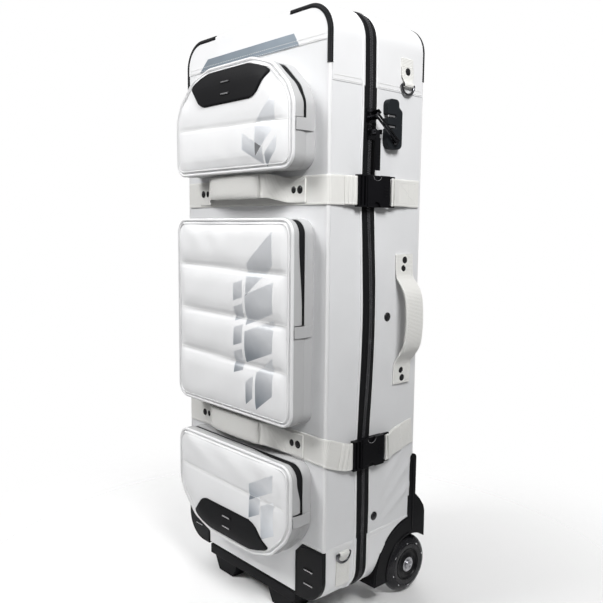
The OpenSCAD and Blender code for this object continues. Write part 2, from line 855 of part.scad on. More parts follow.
// The small pockets have one straight end and one curved end, which is at the top here
module small_outline(inset) {
    a = pocket_w / 2;
    h = small_pocket_h;
    right = concat([[a, 0]], [for (bend = small_bend) [a - bend[0], h - bend[1]]]);
    left = [for (i = [4:-1:0]) [-right[i][0], right[i][1]]];
    offset(r = pocket_round - inset, $fn = 32) offset(delta = -pocket_round)
        polygon(concat(right, left));
}

module upper_outline(inset) translate([0, upper_pocket_low]) small_outline(inset);
module lower_outline(inset)
    translate([0, lower_pocket_low + small_pocket_h]) mirror([0, 1]) small_outline(inset);
module middle_outline(inset)
    translate([0, middle_pocket_low + inset])
        round_rect(pocket_w - 2 * inset, middle_pocket_h - 2 * inset, middle_round - inset);

module below(z) translate([-body_w, z - 2 * body_h]) square([2 * body_w, 2 * body_h]);
module above(z) translate([-body_w, z]) square([2 * body_w, 2 * body_h]);

module pocket_wall(kind)
    difference() {
        pocket_outline(kind, 0);
        pocket_outline(kind, pocket_t);
    }

module pocket_outline(kind, inset) {
    if (kind == "upper") upper_outline(inset);
    if (kind == "middle") middle_outline(inset);
    if (kind == "lower") lower_outline(inset);
}

module pocket_tray(kind, hinge_z)
    color("#e4e5e7") {
        along_y(-pocket_gusset_d, -tray_gap) pocket_wall(kind);
        along_y(-pocket_d, -pocket_gusset_d + eps) intersection() {
            pocket_wall(kind);
            below(hinge_z - tray_gap / 2);
        }
        along_y(-pocket_d, -pocket_d + pocket_t) intersection() {
            pocket_outline(kind, pocket_t / 2);
            below(hinge_z - tray_gap / 2);
        }
    }

module pocket_flap(kind, hinge_z)
    color("#eeeff0") {
        along_y(-pocket_d, -pocket_gusset_d - tray_gap) intersection() {
            pocket_wall(kind);
            above(hinge_z + tray_gap / 2);
        }
        along_y(-pocket_d, -pocket_d + pocket_t) intersection() {
            pocket_outline(kind, pocket_t / 2);
            above(hinge_z + tray_gap / 2);
        }
    }

module panel_area()
    offset(r = 4, $fn = 32) offset(delta = -4)
        polygon(concat(panel_half, [for (i = [6:-1:1]) [-panel_half[i][0], panel_half[i][1]]]));

module pocket_panel()
    color("#141415") difference() {
        along_y(-pocket_d - panel_t, -pocket_d - lay_gap) panel_area();
        for (z = panel_slots)
            span([-panel_slot[0] / 2, -pocket_d - panel_t - over, z],
                [panel_slot[0] / 2, -pocket_d - panel_t + 1, z + panel_slot[1]]);
    }

module pocket_panel_upper() translate([0, 0, upper_pocket_low + small_pocket_h]) pocket_panel();
module pocket_panel_lower()
    translate([0, 0, lower_pocket_low]) mirror([0, 0, 1]) pocket_panel();

// ---------- nodes ----------

place() back_panel();
place() back_board();
place() base_side_panels();
place() base_end_panels();
place() back_piping();
place() back_corner_binding();
place() zipper_tape_base();
place() hinge_strip();
place() wheel_housings();
place() wheel_axles();
place() lock_case();
place() lock_cylinder();
place() ring_tab_upper();
place() ring_upper();
place() back_straps();
place() buckle_sockets();
place() side_handle();
place() base_rivets();
place() handle_bezel();
place() handle_outer_tubes();
place() handle_inner_tubes();
place() handle_grip();
place() handle_button();
place() tyre_right();
place() hub_right();
place() bearings_right();
place() tyre_left();
place() hub_left();
place() bearings_left();
place() zipper_slider_upper();
place() zipper_pull_upper();
place() zipper_slider_lower();
place() zipper_pull_lower();
place() front_panel();
place() lid_side_panels();
place() lid_end_panels();
place() front_piping();
place() front_corner_binding();
place() corner_guards();
place() bottom_rail();
place() zipper_tape_lid();
place() front_straps();
place() front_grips();
place() buckle_plugs();
place() buckle_arm(lower_buckle_z, -1);  // buckle_arm_1
place() buckle_arm(lower_buckle_z, 1);  // buckle_arm_2
place() buckle_arm(upper_strap_z, -1);  // buckle_arm_3
place() buckle_arm(upper_strap_z, 1);  // buckle_arm_4
place() lid_rivets();
place() ring_tab_lower();
place() ring_lower();
place() pocket_tray("upper", upper_hinge_z);  // pocket_tray_upper
place() pocket_flap("upper", upper_hinge_z);  // pocket_flap_upper
place() pocket_panel_upper();
place() pocket_tray("middle", middle_hinge_z);  // pocket_tray_middle
place() pocket_flap("middle", middle_hinge_z);  // pocket_flap_middle
place() pocket_tray("lower", lower_hinge_z);  // pocket_tray_lower
place() pocket_flap("lower", lower_hinge_z);  // pocket_flap_lower
place() pocket_panel_lower();
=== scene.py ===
import math

import bmesh
import bpy
import numpy as np
from mathutils import Matrix, Vector
from mathutils.bvhtree import BVHTree


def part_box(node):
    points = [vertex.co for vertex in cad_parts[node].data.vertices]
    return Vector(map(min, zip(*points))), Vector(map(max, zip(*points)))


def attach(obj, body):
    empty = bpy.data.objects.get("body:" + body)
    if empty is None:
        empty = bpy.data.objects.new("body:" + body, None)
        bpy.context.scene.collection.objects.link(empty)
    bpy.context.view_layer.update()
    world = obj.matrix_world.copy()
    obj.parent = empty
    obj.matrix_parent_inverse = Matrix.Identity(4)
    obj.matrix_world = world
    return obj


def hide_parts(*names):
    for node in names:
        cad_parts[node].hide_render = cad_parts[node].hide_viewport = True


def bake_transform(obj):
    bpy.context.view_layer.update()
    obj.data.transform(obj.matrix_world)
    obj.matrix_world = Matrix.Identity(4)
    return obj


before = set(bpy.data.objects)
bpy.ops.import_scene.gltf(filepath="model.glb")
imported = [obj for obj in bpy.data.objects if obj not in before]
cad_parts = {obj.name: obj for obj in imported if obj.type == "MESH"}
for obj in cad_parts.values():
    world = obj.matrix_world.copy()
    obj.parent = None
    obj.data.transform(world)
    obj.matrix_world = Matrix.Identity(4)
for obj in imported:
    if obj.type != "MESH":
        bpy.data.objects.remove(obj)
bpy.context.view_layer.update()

bl_info = {
    "name": "Wheeled skate bag",
    "version": (1, 0, 0),
    "blender": (4, 5, 0),
    "location": "3D View > Sidebar > Skate bag",
    "description": "Builds the fabric, webbing, trims and finishes of a wheeled skate bag",
    "category": "Object",
}

# ---------- places, taken from the fixed frame ----------
# Shapes are drawn in bag millimetres: x from the bag's centre plane, y from the plane of its
# front edge towards the back, z from the ground.

MM = 0.001
EDGE_LOW, EDGE_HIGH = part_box("front_piping")
ORIGIN = np.array([(EDGE_LOW.x + EDGE_HIGH.x) / 2, EDGE_LOW.y, 0.0])


def room(*nodes):
    """The lowest and highest corner of these nodes together, in bag millimetres."""
    corners = np.array([[tuple(end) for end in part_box(node)] for node in nodes])
    return (corners[:, 0].min(0) - ORIGIN) / MM, (corners[:, 1].max(0) - ORIGIN) / MM


def middle(*nodes):
    """The middle of these nodes' common box, in bag millimetres."""
    low, high = room(*nodes)
    return (low + high) / 2


HALF_W, PIPING_D, SHELL_HIGH = room("front_piping")[1]
SHELL_LOW = room("corner_guards")[0][2]
BODY_D = room("back_panel")[1][1]
WALL = BODY_D - room("back_panel")[0][1]
PIPING_R = PIPING_D / 2
CORNER_R = 39.0
BINDING_LOW = room("front_corner_binding")[0][2]
ZIP_FRONT = room("zipper_tape_lid")[0][1]
ZIP_MID = (room("zipper_tape_lid")[1][1] + room("zipper_tape_base")[0][1]) / 2
ZIP_BACK = room("zipper_tape_base")[1][1]
SEAM_LOW, SEAM_HIGH = (end[2] for end in room("lid_side_panels"))
BUCKLE_ZS = [middle("buckle_arm_1", "buckle_arm_2")[2], middle("buckle_arm_3", "buckle_arm_4")[2]]
WEBBING_W = 2 * (room("back_straps")[1][2] - BUCKLE_ZS[1])
STRAP_DROP = 13.5
STRAP_ZS = [room("pocket_tray_middle")[0][2] - STRAP_DROP - WEBBING_W / 2, BUCKLE_ZS[1]]
MOUTH_Y, SOCKET_BACK = room("buckle_sockets")[0][1], room("buckle_sockets")[1][1]
BUCKLE_X = room("buckle_sockets")[1][0]
POCKET_FRONT = room("pocket_tray_middle")[0][1]
WHEEL_RIGHT = middle("tyre_right")
HOUSING_LOW, HOUSING_HIGH = room("wheel_housings")
ARCH_R = 80.0
BEZEL_LOW, BEZEL_HIGH = room("handle_bezel")
BAG_MIDDLE = np.array([0.0, BODY_D / 2, (SHELL_LOW + SHELL_HIGH) / 2])


# ---------- sizes and colours that a user may change ----------

def length(name, description, default):
    """A length in millimetres."""
    return bpy.props.FloatProperty(name=name, description=description + ", in mm",
                                   default=default, min=0.0, max=400.0, precision=2)


def colour(name, description, default):
    """A colour."""
    return bpy.props.FloatVectorProperty(name=name, description=description, default=default,
                                         subtype="COLOR", size=3, min=0.0, max=1.0)


def strength(name, description, default):
    """The power of a light in watts, or the strength of the surround."""
    return bpy.props.FloatProperty(name=name, description=description, default=default, min=0.0)


class ShellLook(bpy.types.PropertyGroup):
    """How full and how creased the shell's fabric is."""
    side_fullness: length("Side fullness", "Swell of the sides between the straps", 5.0)
    zipper_ridge: length("Zipper ridge", "How far the zipper stands up between the straps", 4.0)
    end_fullness: length("End fullness", "Swell of the sides outside the straps", 1.4)
    top_crown: length("Top crown", "Swell of the top", 2.0)
    front_crown: length("Front crown", "Swell of the front panel", 1.6)
    crease_depth: length("Crease depth", "Height of the creases above the wheels", 3.0)
    drift: length("Unevenness", "Soft unevenness of the fabric", 0.4)
    overlay_lift: length("Overlay lift", "Step from the side fabric up to the overlays", 0.7)
    front_seam_drop: length("Front seam drop", "Height of the front's top overlay", 48.0)
    fabric: colour("Fabric", "Colour of the woven side fabric", (0.72, 0.725, 0.735))
    overlay: colour("Overlay", "Colour of the smooth overlays", (0.76, 0.762, 0.77))
    lining: colour("Lining", "Colour of the inside", (0.13, 0.135, 0.145))


class PocketLook(bpy.types.PropertyGroup):
    """How the padded pockets are filled and trimmed."""
    fill: length("Fill", "Swell of the pocket faces", 2.5)
    pad: length("Padding", "Thickness of the padded face", 6.0)
    seam_depth: length("Quilting depth", "Depth of the quilting seams", 6.5)
    seam_width: length("Quilting width", "Width of the quilting seams", 6.0)
    piping_r: length("Piping radius", "Radius of the piping round each face", 2.3)
    cap: length("Pressing limit", "How far the simulation may move the padding", 5.0)
    fabric: colour("Fabric", "Colour of the padded fabric", (0.80, 0.803, 0.81))
    print_dark: colour("Print", "Colour of the metallic print", (0.30, 0.34, 0.39))


class TrimLook(bpy.types.PropertyGroup):
    """Webbing, rubber and plastic."""
    webbing_t: length("Webbing thickness", "Thickness of the straps", 1.8)
    webbing: colour("Webbing", "Colour of the straps", (0.82, 0.815, 0.785))
    black: colour("Black plastic", "Colour of the moulded trims", (0.006, 0.006, 0.007))


class StageLook(bpy.types.PropertyGroup):
    """Camera and studio light."""
    key_power: strength("Key light", "Power of the main light", 9.6)
    side_power: strength("Side light", "Power of the side light", 4.6)
    top_power: strength("Top light", "Power of the top light", 24.0)
    back_power: strength("Back light", "Power of the back light", 14.0)
    world_light: strength("Surround light", "Strength of the white surround", 0.2)
    lens: bpy.props.FloatProperty(name="Lens", description="Focal length", default=42.18,
                                  min=10.0, unit="CAMERA")


def look(name):
    """One of the add-on's property groups."""
    return getattr(bpy.context.scene, "skate_bag_" + name)


# ---------- meshes from arrays ----------

class Form:
    """A piece while it is put together: points in bag millimetres, faces, the flat
    coordinates of each point in metres of cloth, and a finish number for each face."""

    def __init__(self):
        self.points, self.faces, self.flat, self.finish = [], [], [], []
        self.count = 0

    def add(self, points, faces, flat=None, finish=0):
        """Adds points (n, 3) and faces, a list of index arrays that count from this call's
        first point. finish is one number, or one for each array of faces."""
        points = np.asarray(points, float).reshape(-1, 3)
        if flat is None:
            flat = points[:, [0, 2]] * MM
        self.points.append(points)
        self.flat.append(np.asarray(flat, float).reshape(-1, 2))
        for i, block in enumerate(faces):
            block = np.atleast_2d(np.asarray(block, int))
            mark = finish[i] if isinstance(finish, (list, tuple)) else finish
            self.faces += (block + self.count).tolist()
            self.finish += [mark] * len(block)
        self.count += len(points)
        return self

    def mirror_x(self):
        """Adds the mirror image of everything so far in the bag's centre plane."""
        points = np.concatenate(self.points) * [-1, 1, 1]
        flat, faces, finish = np.concatenate(self.flat), self.faces[:], self.finish[:]
        shift = self.count
        self.points.append(points)
        self.flat.append(flat)
        self.faces += [[i + shift for i in reversed(face)] for face in faces]
        self.finish += finish
        self.count += len(points)
        return self


def quads(rows, columns, close_rows=False, close_columns=False):
    """The quads of a grid whose point (r, c) has the number r * columns + c."""
    r, c = np.meshgrid(np.arange(rows - (not close_rows)),
                       np.arange(columns - (not close_columns)), indexing="ij")
    r2, c2 = (r + 1) % rows, (c + 1) % columns
    return np.stack([r * columns + c, r2 * columns + c, r2 * columns + c2, r * columns + c2],
                    -1).reshape(-1, 4)


def unit(vectors):
    """Vectors brought to length one."""
    return vectors / np.maximum(np.linalg.norm(vectors, axis=-1, keepdims=True), 1e-9)


def travelled(path):
    """Distance along a path at each of its points: the running sum of its steps."""
    return np.concatenate([[0], np.cumsum(np.linalg.norm(np.diff(path, axis=0), axis=1))])


def grid_normals(grid, inside):
    """Each grid point's normal is the cross product of the grid's two slopes there, turned
    away from the point inside."""
    normals = unit(np.cross(np.gradient(grid, axis=0), np.gradient(grid, axis=1)))
    outward = np.sum(normals * (grid - inside))
    return normals * (1 if outward >= 0 else -1)


def cloth(form, grid, thickness, inside=BAG_MIDDLE, flat=None):
    """A sheet of cloth with thickness: the grid is its outer face, the inner face is each
    point moved against its normal, and the edges are joined. The inner face has its own
    finish."""
    rows, columns = grid.shape[:2]
    inner = grid - grid_normals(grid, inside) * thickness
    points = np.concatenate([grid.reshape(-1, 3), inner.reshape(-1, 3)])
    face = quads(rows, columns)
    n = rows * columns
    index = np.arange(n).reshape(rows, columns)
    rims = [np.stack([edge[:-1], edge[1:], edge[1:] + n, edge[:-1] + n], -1)
            for edge in (index[0], index[-1], index[:, 0], index[:, -1])]
    if flat is None:
        flat = grid[..., [0, 2]] * MM
    flat = np.concatenate([flat.reshape(-1, 2)] * 2)
    return form.add(points, [face, face[:, ::-1] + n] + rims, flat, [0, 1, 0, 0, 0, 0])


def sweep(form, path, profile, up, closed=False, finish=0):
    """Carries a closed profile along a path. A profile point (a, b) sits a along the side
    vector, which is the path's direction crossed with up, and b along up. The profile may
    change along the path. Open ends are capped."""
    path = np.asarray(path, float)
    n = len(path)
    if closed:
        along = unit(np.roll(path, -1, 0) - np.roll(path, 1, 0))
    else:
        along = unit(np.gradient(path, axis=0))
    up = np.broadcast_to(np.asarray(up, float), path.shape)
    side = unit(np.cross(along, up))
    up = unit(np.cross(side, along))
    profile = np.broadcast_to(profile, (n,) + np.shape(profile)[-2:])
    m = profile.shape[1]
    grid = path[:, None] + side[:, None] * profile[..., :1] + up[:, None] * profile[..., 1:]
    flat = np.stack([np.broadcast_to(travelled(path)[:, None], (n, m)), profile[..., 0]],
                    -1) * MM
    faces = [quads(n, m, closed, True)]
    if not closed:
        faces += [np.arange(m)[::-1], np.arange(m) + (n - 1) * m]
    return form.add(grid, faces, flat, finish)


def lathe(form, centre, axis, profile, around, closed=False):
    """Turns a profile of (radius, height) points round an axis through centre. An open
    profile's ends, which reach the axis, close in a small flat."""
    axis = unit(np.asarray(axis, float))
    side = unit(np.cross(axis, [0.3, 0.5, 0.81]))
    other = np.cross(axis, side)
    turn = np.linspace(0, 2 * np.pi, around, endpoint=False)
    ring = np.cos(turn)[:, None] * side + np.sin(turn)[:, None] * other
    profile = np.asarray(profile, float)
    grid = centre + profile[:, None, :1] * ring[None] + profile[:, None, 1:] * axis
    rows = len(profile)
    faces = [quads(rows, around, closed, True)]
    if not closed:
        faces += [np.arange(around)[::-1], np.arange(around) + (rows - 1) * around]
    return form.add(grid, faces)


def slab(form, outline, to_space, low, high):
    """A flat plate: an outline of (a, b) points between the heights low and high, placed by
    to_space, a function of a, b and height."""
    outline = np.asarray(outline, float)
    n = len(outline)
    points = np.concatenate([to_space(outline[:, 0], outline[:, 1], np.full(n, height))
                             for height in (low, high)])
    i = np.arange(n)
    j = np.roll(i, -1)
    return form.add(points, [np.stack([i, j, j + n, i + n], -1), i[::-1], i + n])


def oval(half_width, half_height, points=20, squareness=2.0):
    """A superellipse: each coordinate of a circle is raised to 2 / squareness."""
    turn = np.linspace(0, 2 * np.pi, points, endpoint=False)
    c, s = np.cos(turn), np.sin(turn)
    power = 2 / squareness
    return np.stack([half_width * np.sign(c) * np.abs(c) ** power,
                     half_height * np.sign(s) * np.abs(s) ** power], -1)


def round_corners(corners, radii, step=2.0):
    """A closed polygon with each corner replaced by an arc that meets both sides: the arc
    starts radius * tan(turn / 2) before the corner."""
    corners = np.asarray(corners, float)
    radii = np.broadcast_to(radii, len(corners))
    out = []
    for i, (corner, radius) in enumerate(zip(corners, radii)):
        to_last = unit(corners[i - 1] - corner)
        to_next = unit(corners[(i + 1) % len(corners)] - corner)
        half = math.acos(float(np.clip(np.dot(to_last, to_next), -1, 1))) / 2
        reach = radius / math.tan(half)
        centre = corner + unit(to_last + to_next) * radius / math.sin(half)
        a, b = corner + to_last * reach - centre, corner + to_next * reach - centre
        count = max(3, int(radius * (math.pi - 2 * half) / step) + 2)
        start = math.atan2(a[1], a[0])
        turn = (math.atan2(b[1], b[0]) - start + math.pi) % (2 * math.pi) - math.pi
        angles = start + turn * np.linspace(0, 1, count)
        out.append(centre + radius * np.stack([np.cos(angles), np.sin(angles)], -1))
    return np.concatenate(out)


def even(path, step, closed=False):
    """The path with its points step apart."""
    path = np.asarray(path, float)
    if closed:
        path = np.concatenate([path, path[:1]])
    travel = travelled(path)
    count = max(3, int(round(travel[-1] / step)) + 1)
    at = np.linspace(0, travel[-1], count, endpoint=not closed)
    return np.stack([np.interp(at, travel, path[:, k]) for k in range(path.shape[1])], -1)


def smooth_path(points, step=2.0, rounds=3):
    """A path through given points, rounded by cutting its corners: each round replaces
    a corner by points a quarter of the way along its two sides."""
    path = np.asarray(points, float)
    for _ in range(rounds):
        cut = np.stack([0.75 * path[:-1] + 0.25 * path[1:],
                        0.25 * path[:-1] + 0.75 * path[1:]], 1).reshape(-1, path.shape[1])
        path = np.concatenate([path[:1], cut, path[-1:]])
    return even(path, step)


def ease(value, low, high):
    """A smooth step from 0 at low to 1 at high."""
    t = np.clip((value - low) / (high - low), 0, 1)
    return t * t * (3 - 2 * t)


def drift(a, b, seed=0.0):
    """Soft unevenness from -1 to 1: a sum of slow waves in two directions."""
    return (np.sin(a / 31 + 1.3 * seed) * np.cos(b / 43 - seed)
            + 0.6 * np.sin(a / 17 - b / 23 + 2.1 * seed)
            + 0.4 * np.cos(a / 11 + b / 13 + 0.7 * seed)) / 2


def piece(name, form, body, paints, standing_for=(), bevel=0.0, sharp=38.0):
    """Makes the object of a form, with its faces outwards, and lets it ride on a body."""
    mesh = bpy.data.meshes.new(name)
    points = np.concatenate(form.points) * MM + ORIGIN
    mesh.from_pydata(points.tolist(), [], form.faces)
    for paint in paints:
        mesh.materials.append(paint)
    last = len(paints) - 1
    mesh.polygons.foreach_set("material_index", np.minimum(form.finish, last).astype(np.int32))
    corner = np.empty(len(mesh.loops), np.int32)
    mesh.loops.foreach_get("vertex_index", corner)
    layer = mesh.uv_layers.new(name="Cloth")
    layer.data.foreach_set("uv", np.concatenate(form.flat)[corner].astype(np.float32).ravel())
    return finished(name, mesh, body, standing_for, bevel, sharp)


def finished(name, mesh, body, standing_for=(), bevel=0.0, sharp=38.0):
    """Turns a closed mesh's faces outwards, smooths it up to the sharp angle, and gives it
    its body and rounded edges; the nodes it stands for are hidden."""
    shape = bmesh.new()
    shape.from_mesh(mesh)
    bmesh.ops.recalc_face_normals(shape, faces=shape.faces)
    shape.to_mesh(mesh)
    shape.free()
    mesh.shade_smooth()
    if bevel:
        mesh.set_sharp_from_angle(angle=math.pi)
    else:
        mesh.set_sharp_from_angle(angle=math.radians(sharp))
    obj = bpy.data.objects.new(name, mesh)
    bpy.context.scene.collection.objects.link(obj)
    if bevel:
        rounding = obj.modifiers.new("Rounded edges", "BEVEL")
        rounding.width = bevel * MM
        rounding.segments = 3
        rounding.limit_method = "ANGLE"
        rounding.angle_limit = math.radians(30)
        rounding.use_clamp_overlap = True
        even_light = obj.modifiers.new("Even light", "WEIGHTED_NORMAL")
        even_light.keep_sharp = False
    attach(obj, body)
    if standing_for:
        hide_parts(*standing_for)
    return obj


def refined(node, paint, body, bevel):
    """A copy of a moulded node whose flat facets are joined again and whose edges are
    rounded. It stands for the node."""
    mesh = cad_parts[node].data.copy()
    mesh.name = node + "_rounded"
    shape = bmesh.new()
    shape.from_mesh(mesh)
    bmesh.ops.remove_doubles(shape, verts=shape.verts, dist=0.00001)
    bmesh.ops.dissolve_limit(shape, angle_limit=math.radians(1.5), verts=shape.verts,
                             edges=shape.edges)
    shape.to_mesh(mesh)
    shape.free()
    mesh.materials.clear()
    mesh.materials.append(paint)
    mesh.polygons.foreach_set("material_index", np.zeros(len(mesh.polygons), np.int32))
    return finished(node + "_rounded", mesh, body, (node,), bevel)


def repaint(paint, *nodes):
    """Gives nodes that stay as they are a better material."""
    for node in nodes:
        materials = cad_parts[node].data.materials
        materials.clear()
        materials.append(paint)


# ---------- the shell's outline ----------

def outline_table():
    """The rounded rectangle of the shell seen from the front, walked from the middle of its
    underside round by +X: distance walked, points and outward normals."""
    reach, rise = HALF_W - CORNER_R, CORNER_R
    corners = [(reach, SHELL_LOW + rise, -90), (reach, SHELL_HIGH - rise, 0),
               (-reach, SHELL_HIGH - rise, 90), (-reach, SHELL_LOW + rise, 180)]
    points, normals = [np.array([[0.0, SHELL_LOW]])], [np.array([[0.0, -1.0]])]
    for x, z, start in corners:
        angles = np.radians(start + np.linspace(0, 90, 46))
        ring = np.stack([np.cos(angles), np.sin(angles)], -1)
        points.append(np.array([x, z]) + CORNER_R * ring)
        normals.append(ring)
    points.append(points[0])
    normals.append(normals[0])
    points = np.concatenate(points)
    return travelled(points), points, np.concatenate(normals)


TRAVEL, OUTLINE, OUTWARD = outline_table()
ROUND = TRAVEL[-1]
HALF_TABLE = len(TRAVEL) // 2


def walk(s):
    """Point and outward normal at each distance s along the shell's outline."""
    s = np.mod(s, ROUND)
    return [np.interp(s, TRAVEL, column) for column in (*OUTLINE.T, *OUTWARD.T)]


def right_at(z):
    """Distance along the outline at which the +X side reaches the height z."""
    return np.interp(z, OUTLINE[1:HALF_TABLE, 1], TRAVEL[1:HALF_TABLE])


def swell(y, z):
    """How far the sides stand out: an arch between the straps and a lower one past them,
    fullest at the zipper and nothing at the front and back edges."""
    shell = look("shell")
    low, high = STRAP_ZS
    between = np.sin(np.pi * np.clip((z - low) / (high - low), 0, 1)) ** 1.3
    above = np.sin(np.pi * np.clip((z - high) / (SHELL_HIGH - high), 0, 1))
    below = np.sin(np.pi * np.clip((low - z) / (low - SHELL_LOW), 0, 1))
    rise = shell.side_fullness * between + shell.end_fullness * (above + below)
    front = np.sin(np.pi / 2 * np.clip(y / ZIP_MID, 0, 1))
    back = np.cos(np.pi / 2 * np.clip((y - ZIP_MID) / (BODY_D - ZIP_MID), 0, 1)) ** 1.4
    ridge = shell.zipper_ridge * between * np.exp(-((y - ZIP_MID) / 12.0) ** 2)
    return rise * np.where(y < ZIP_MID, front, back) + ridge


def creases(y, z):
    """Folds that fan out over the wheels: each is a narrow ridge beside a slanted line."""
    total = 0.0
    for start, slope, width, share in ((104.0, 0.62, 4.5, 1.0), (128.0, 0.86, 4.0, 0.8),
                                       (158.0, 1.1, 6.0, 0.5), (196.0, 0.8, 7.0, 0.35)):
        off = z - (SHELL_LOW + start + slope * (y - 125.0))
        fade = ease(y, 100, 150) * (1 - ease(y, 168, 182))
        total = total + share * fade * np.exp(-(off / width) ** 2)
    return total * look("shell").crease_depth


def wall_points(s, y, lift=0.0):
    """A point of the shell's outer face: the outline's point at distance s, moved out along
    its normal by lift, the swell of the sides or the top, and a soft unevenness."""
    shell = look("shell")
    x, z, nx, nz = walk(s)
    across = np.sin(np.pi * np.clip(y / BODY_D, 0, 1))
    top = np.clip(nz, 0, 1) ** 2 * shell.top_crown * across
    fade = ease(y, 0, 14) * (1 - ease(y, BODY_D - 14, BODY_D))
    off = top + shell.drift * fade * drift(y * 1.6, z, np.sign(x))
    off = off + np.clip(nx, 0, 1) ** 2 * (swell(y, z) + fade * creases(y, z)) + lift
    return np.stack([x + nx * off, y + 0 * x, z + nz * off], -1)


def mirror_level(form):
    """Adds the mirror image of the right side without its swell, creases and unevenness:
    the halves lie flat against each other there when the bag is open."""
    form.mirror_x()
    points = form.points[-1]
    y, z = points[:, 1], points[:, 2]
    fade = ease(y, 0, 14) * (1 - ease(y, BODY_D - 14, BODY_D))
    uneven = creases(y, z) + look("shell").drift * drift(y * 1.6, z, 1.0)
    points[:, 0] += swell(y, z) + fade * uneven


def value(limit, at):
    """A limit that is a number, or a function of where it is taken."""
    return limit(at) if callable(limit) else limit


def wall_patch(form, start, end, y_low, y_high, lift=0.0, thickness=None, step=5.0):
    """Part of the shell's ring between two distances along the outline, which may depend on
    y, and between two depths, of which the far one may depend on the distance."""
    first = value(start, y_low), value(end, y_low)
    rows = int(abs(first[1] - first[0]) / step) + 2
    columns = int((value(y_high, first[0]) - y_low) / step) + 3
    t, v = np.meshgrid(np.linspace(0, 1, rows), np.linspace(0, 1, columns), indexing="ij")
    s = first[0] + (first[1] - first[0]) * t
    y = y_low + (value(y_high, s) - y_low) * v
    s_low = value(start, y)
    s = s_low + (value(end, y) - s_low) * t
    flat = np.stack([y, s], -1) * MM
    return cloth(form, wall_points(s, y, lift), thickness or WALL, flat=flat)


# ---------- materials ----------

class Value:
    """A socket of a material's nodes that takes part in sums like a number."""

    def __init__(self, paint, socket):
        self.paint, self.socket = paint, socket

    def sum(self, operation, *values):
        """One Math node on numbers and sockets."""
        return self.paint.node("ShaderNodeMath", {"operation": operation},
                               dict(enumerate(values)))["Value"]

    def __add__(self, other):
        return self.sum("ADD", self, other)

    def __sub__(self, other):
        return self.sum("SUBTRACT", self, other)

    def __rsub__(self, other):
        return self.sum("SUBTRACT", other, self)

    def __mul__(self, other):
        return self.sum("MULTIPLY", self, other)

    def __truediv__(self, other):
        return self.sum("DIVIDE", self, other)

    def __pow__(self, other):
        return self.sum("POWER", self, other)

    __radd__, __rmul__ = __add__, __mul__

    def sin(self):
        return self.sum("SINE", self)

    def abs(self):
        return self.sum("ABSOLUTE", self)

    def above(self, edge, soft=0.5):
        """0 below the edge and 1 above it, over a band of twice soft."""
        return self.paint.node("ShaderNodeMapRange", {"interpolation_type": "SMOOTHSTEP"},
                               {"Value": self, "From Min": edge - soft,
                                "From Max": edge + soft})["Result"]


class Paint:
    """A material with one Principled shader, put together from expressions."""

    def __init__(self, name, base=(0.5, 0.5, 0.5), roughness=0.5, **constants):
        self.material = bpy.data.materials.new(name)
        self.material.use_nodes = True
        self.nodes = self.material.node_tree.nodes
        self.links = self.material.node_tree.links
        self.shader = self.nodes["Principled BSDF"]
        self.set("Base Color", tuple(base) + (1.0,))
        self.set("Roughness", roughness)
        for key, constant in constants.items():
            self.set(key.replace("_", " ").title().replace("Ior", "IOR"), constant)

    def set(self, name, item):
        """Gives one of the shader's sockets a constant or a link."""
        self.plug(self.shader.inputs[name], item)
        return self

    def plug(self, socket, item):
        """Sets a socket's value, or links a Value to it."""
        if isinstance(item, Value):
            self.links.new(item.socket, socket)
        else:
            socket.default_value = item

    def node(self, kind, settings=None, values=None):
        """Any node: its settings are set first, then its sockets' values or links. Returns
        its outputs by name."""
        node = self.nodes.new(kind)
        for key, setting in (settings or {}).items():
            setattr(node, key, setting)
        for key, item in (values or {}).items():
            self.plug(node.inputs[key], item)
        return {out.name: Value(self, out) for out in node.outputs if out.enabled}

    def place(self):
        """The surface point in millimetres of the object's own frame: x, y and z."""
        at = self.node("ShaderNodeTexCoord")["Object"]
        parts = self.node("ShaderNodeSeparateXYZ", None, {"Vector": at})
        return [parts[axis] * 1000.0 for axis in "XYZ"]

    def cloth_place(self):
        """The cloth's own coordinates in millimetres: along it and across it."""
        at = self.node("ShaderNodeUVMap", {"uv_map": "Cloth"})["UV"]
        parts = self.node("ShaderNodeSeparateXYZ", None, {"Vector": at})
        return parts["X"] * 1000.0, parts["Y"] * 1000.0

    def noise(self, size, detail=3.0, rough=0.55, stretch=(1.0, 1.0, 1.0)):
        """Noise from 0 to 1 whose largest features are size millimetres across."""
        at = self.node("ShaderNodeTexCoord")["Object"]
        scaled = self.node("ShaderNodeVectorMath", {"operation": "MULTIPLY"},
                           {0: at, 1: stretch})["Vector"]
        return self.node("ShaderNodeTexNoise", None,
                         {"Vector": scaled, "Scale": 1000.0 / size, "Detail": detail,
                          "Roughness": rough})["Fac"]

    def mix(self, share, first, second):
        """A colour between two colours."""
        mixed = self.node("ShaderNodeMix", {"data_type": "RGBA"}, {0: share})
        node = mixed["Result"].socket.node
        for socket, item in ((node.inputs[6], first), (node.inputs[7], second)):
            self.plug(socket, item if isinstance(item, Value) else tuple(item)[:3] + (1.0,))
        return Value(self, node.outputs[2])

    def bump(self, height, depth=1.0, strength=1.0):
        """Lets a height in millimetres shade the surface."""
        normal = self.node("ShaderNodeBump", None,
                           {"Height": height, "Distance": depth * MM, "Strength": strength})
        return self.set("Normal", normal["Normal"])


def tinted(rgb, factor):
    """A colour made lighter or darker."""
    return tuple(min(1.0, channel * factor) for channel in rgb)


def weave(across, along, pitch):
    """Plain weave: the product of two waves, so that threads rise in turn."""
    k = 2 * math.pi / pitch
    return (across * k).sin() * (along * k).sin()


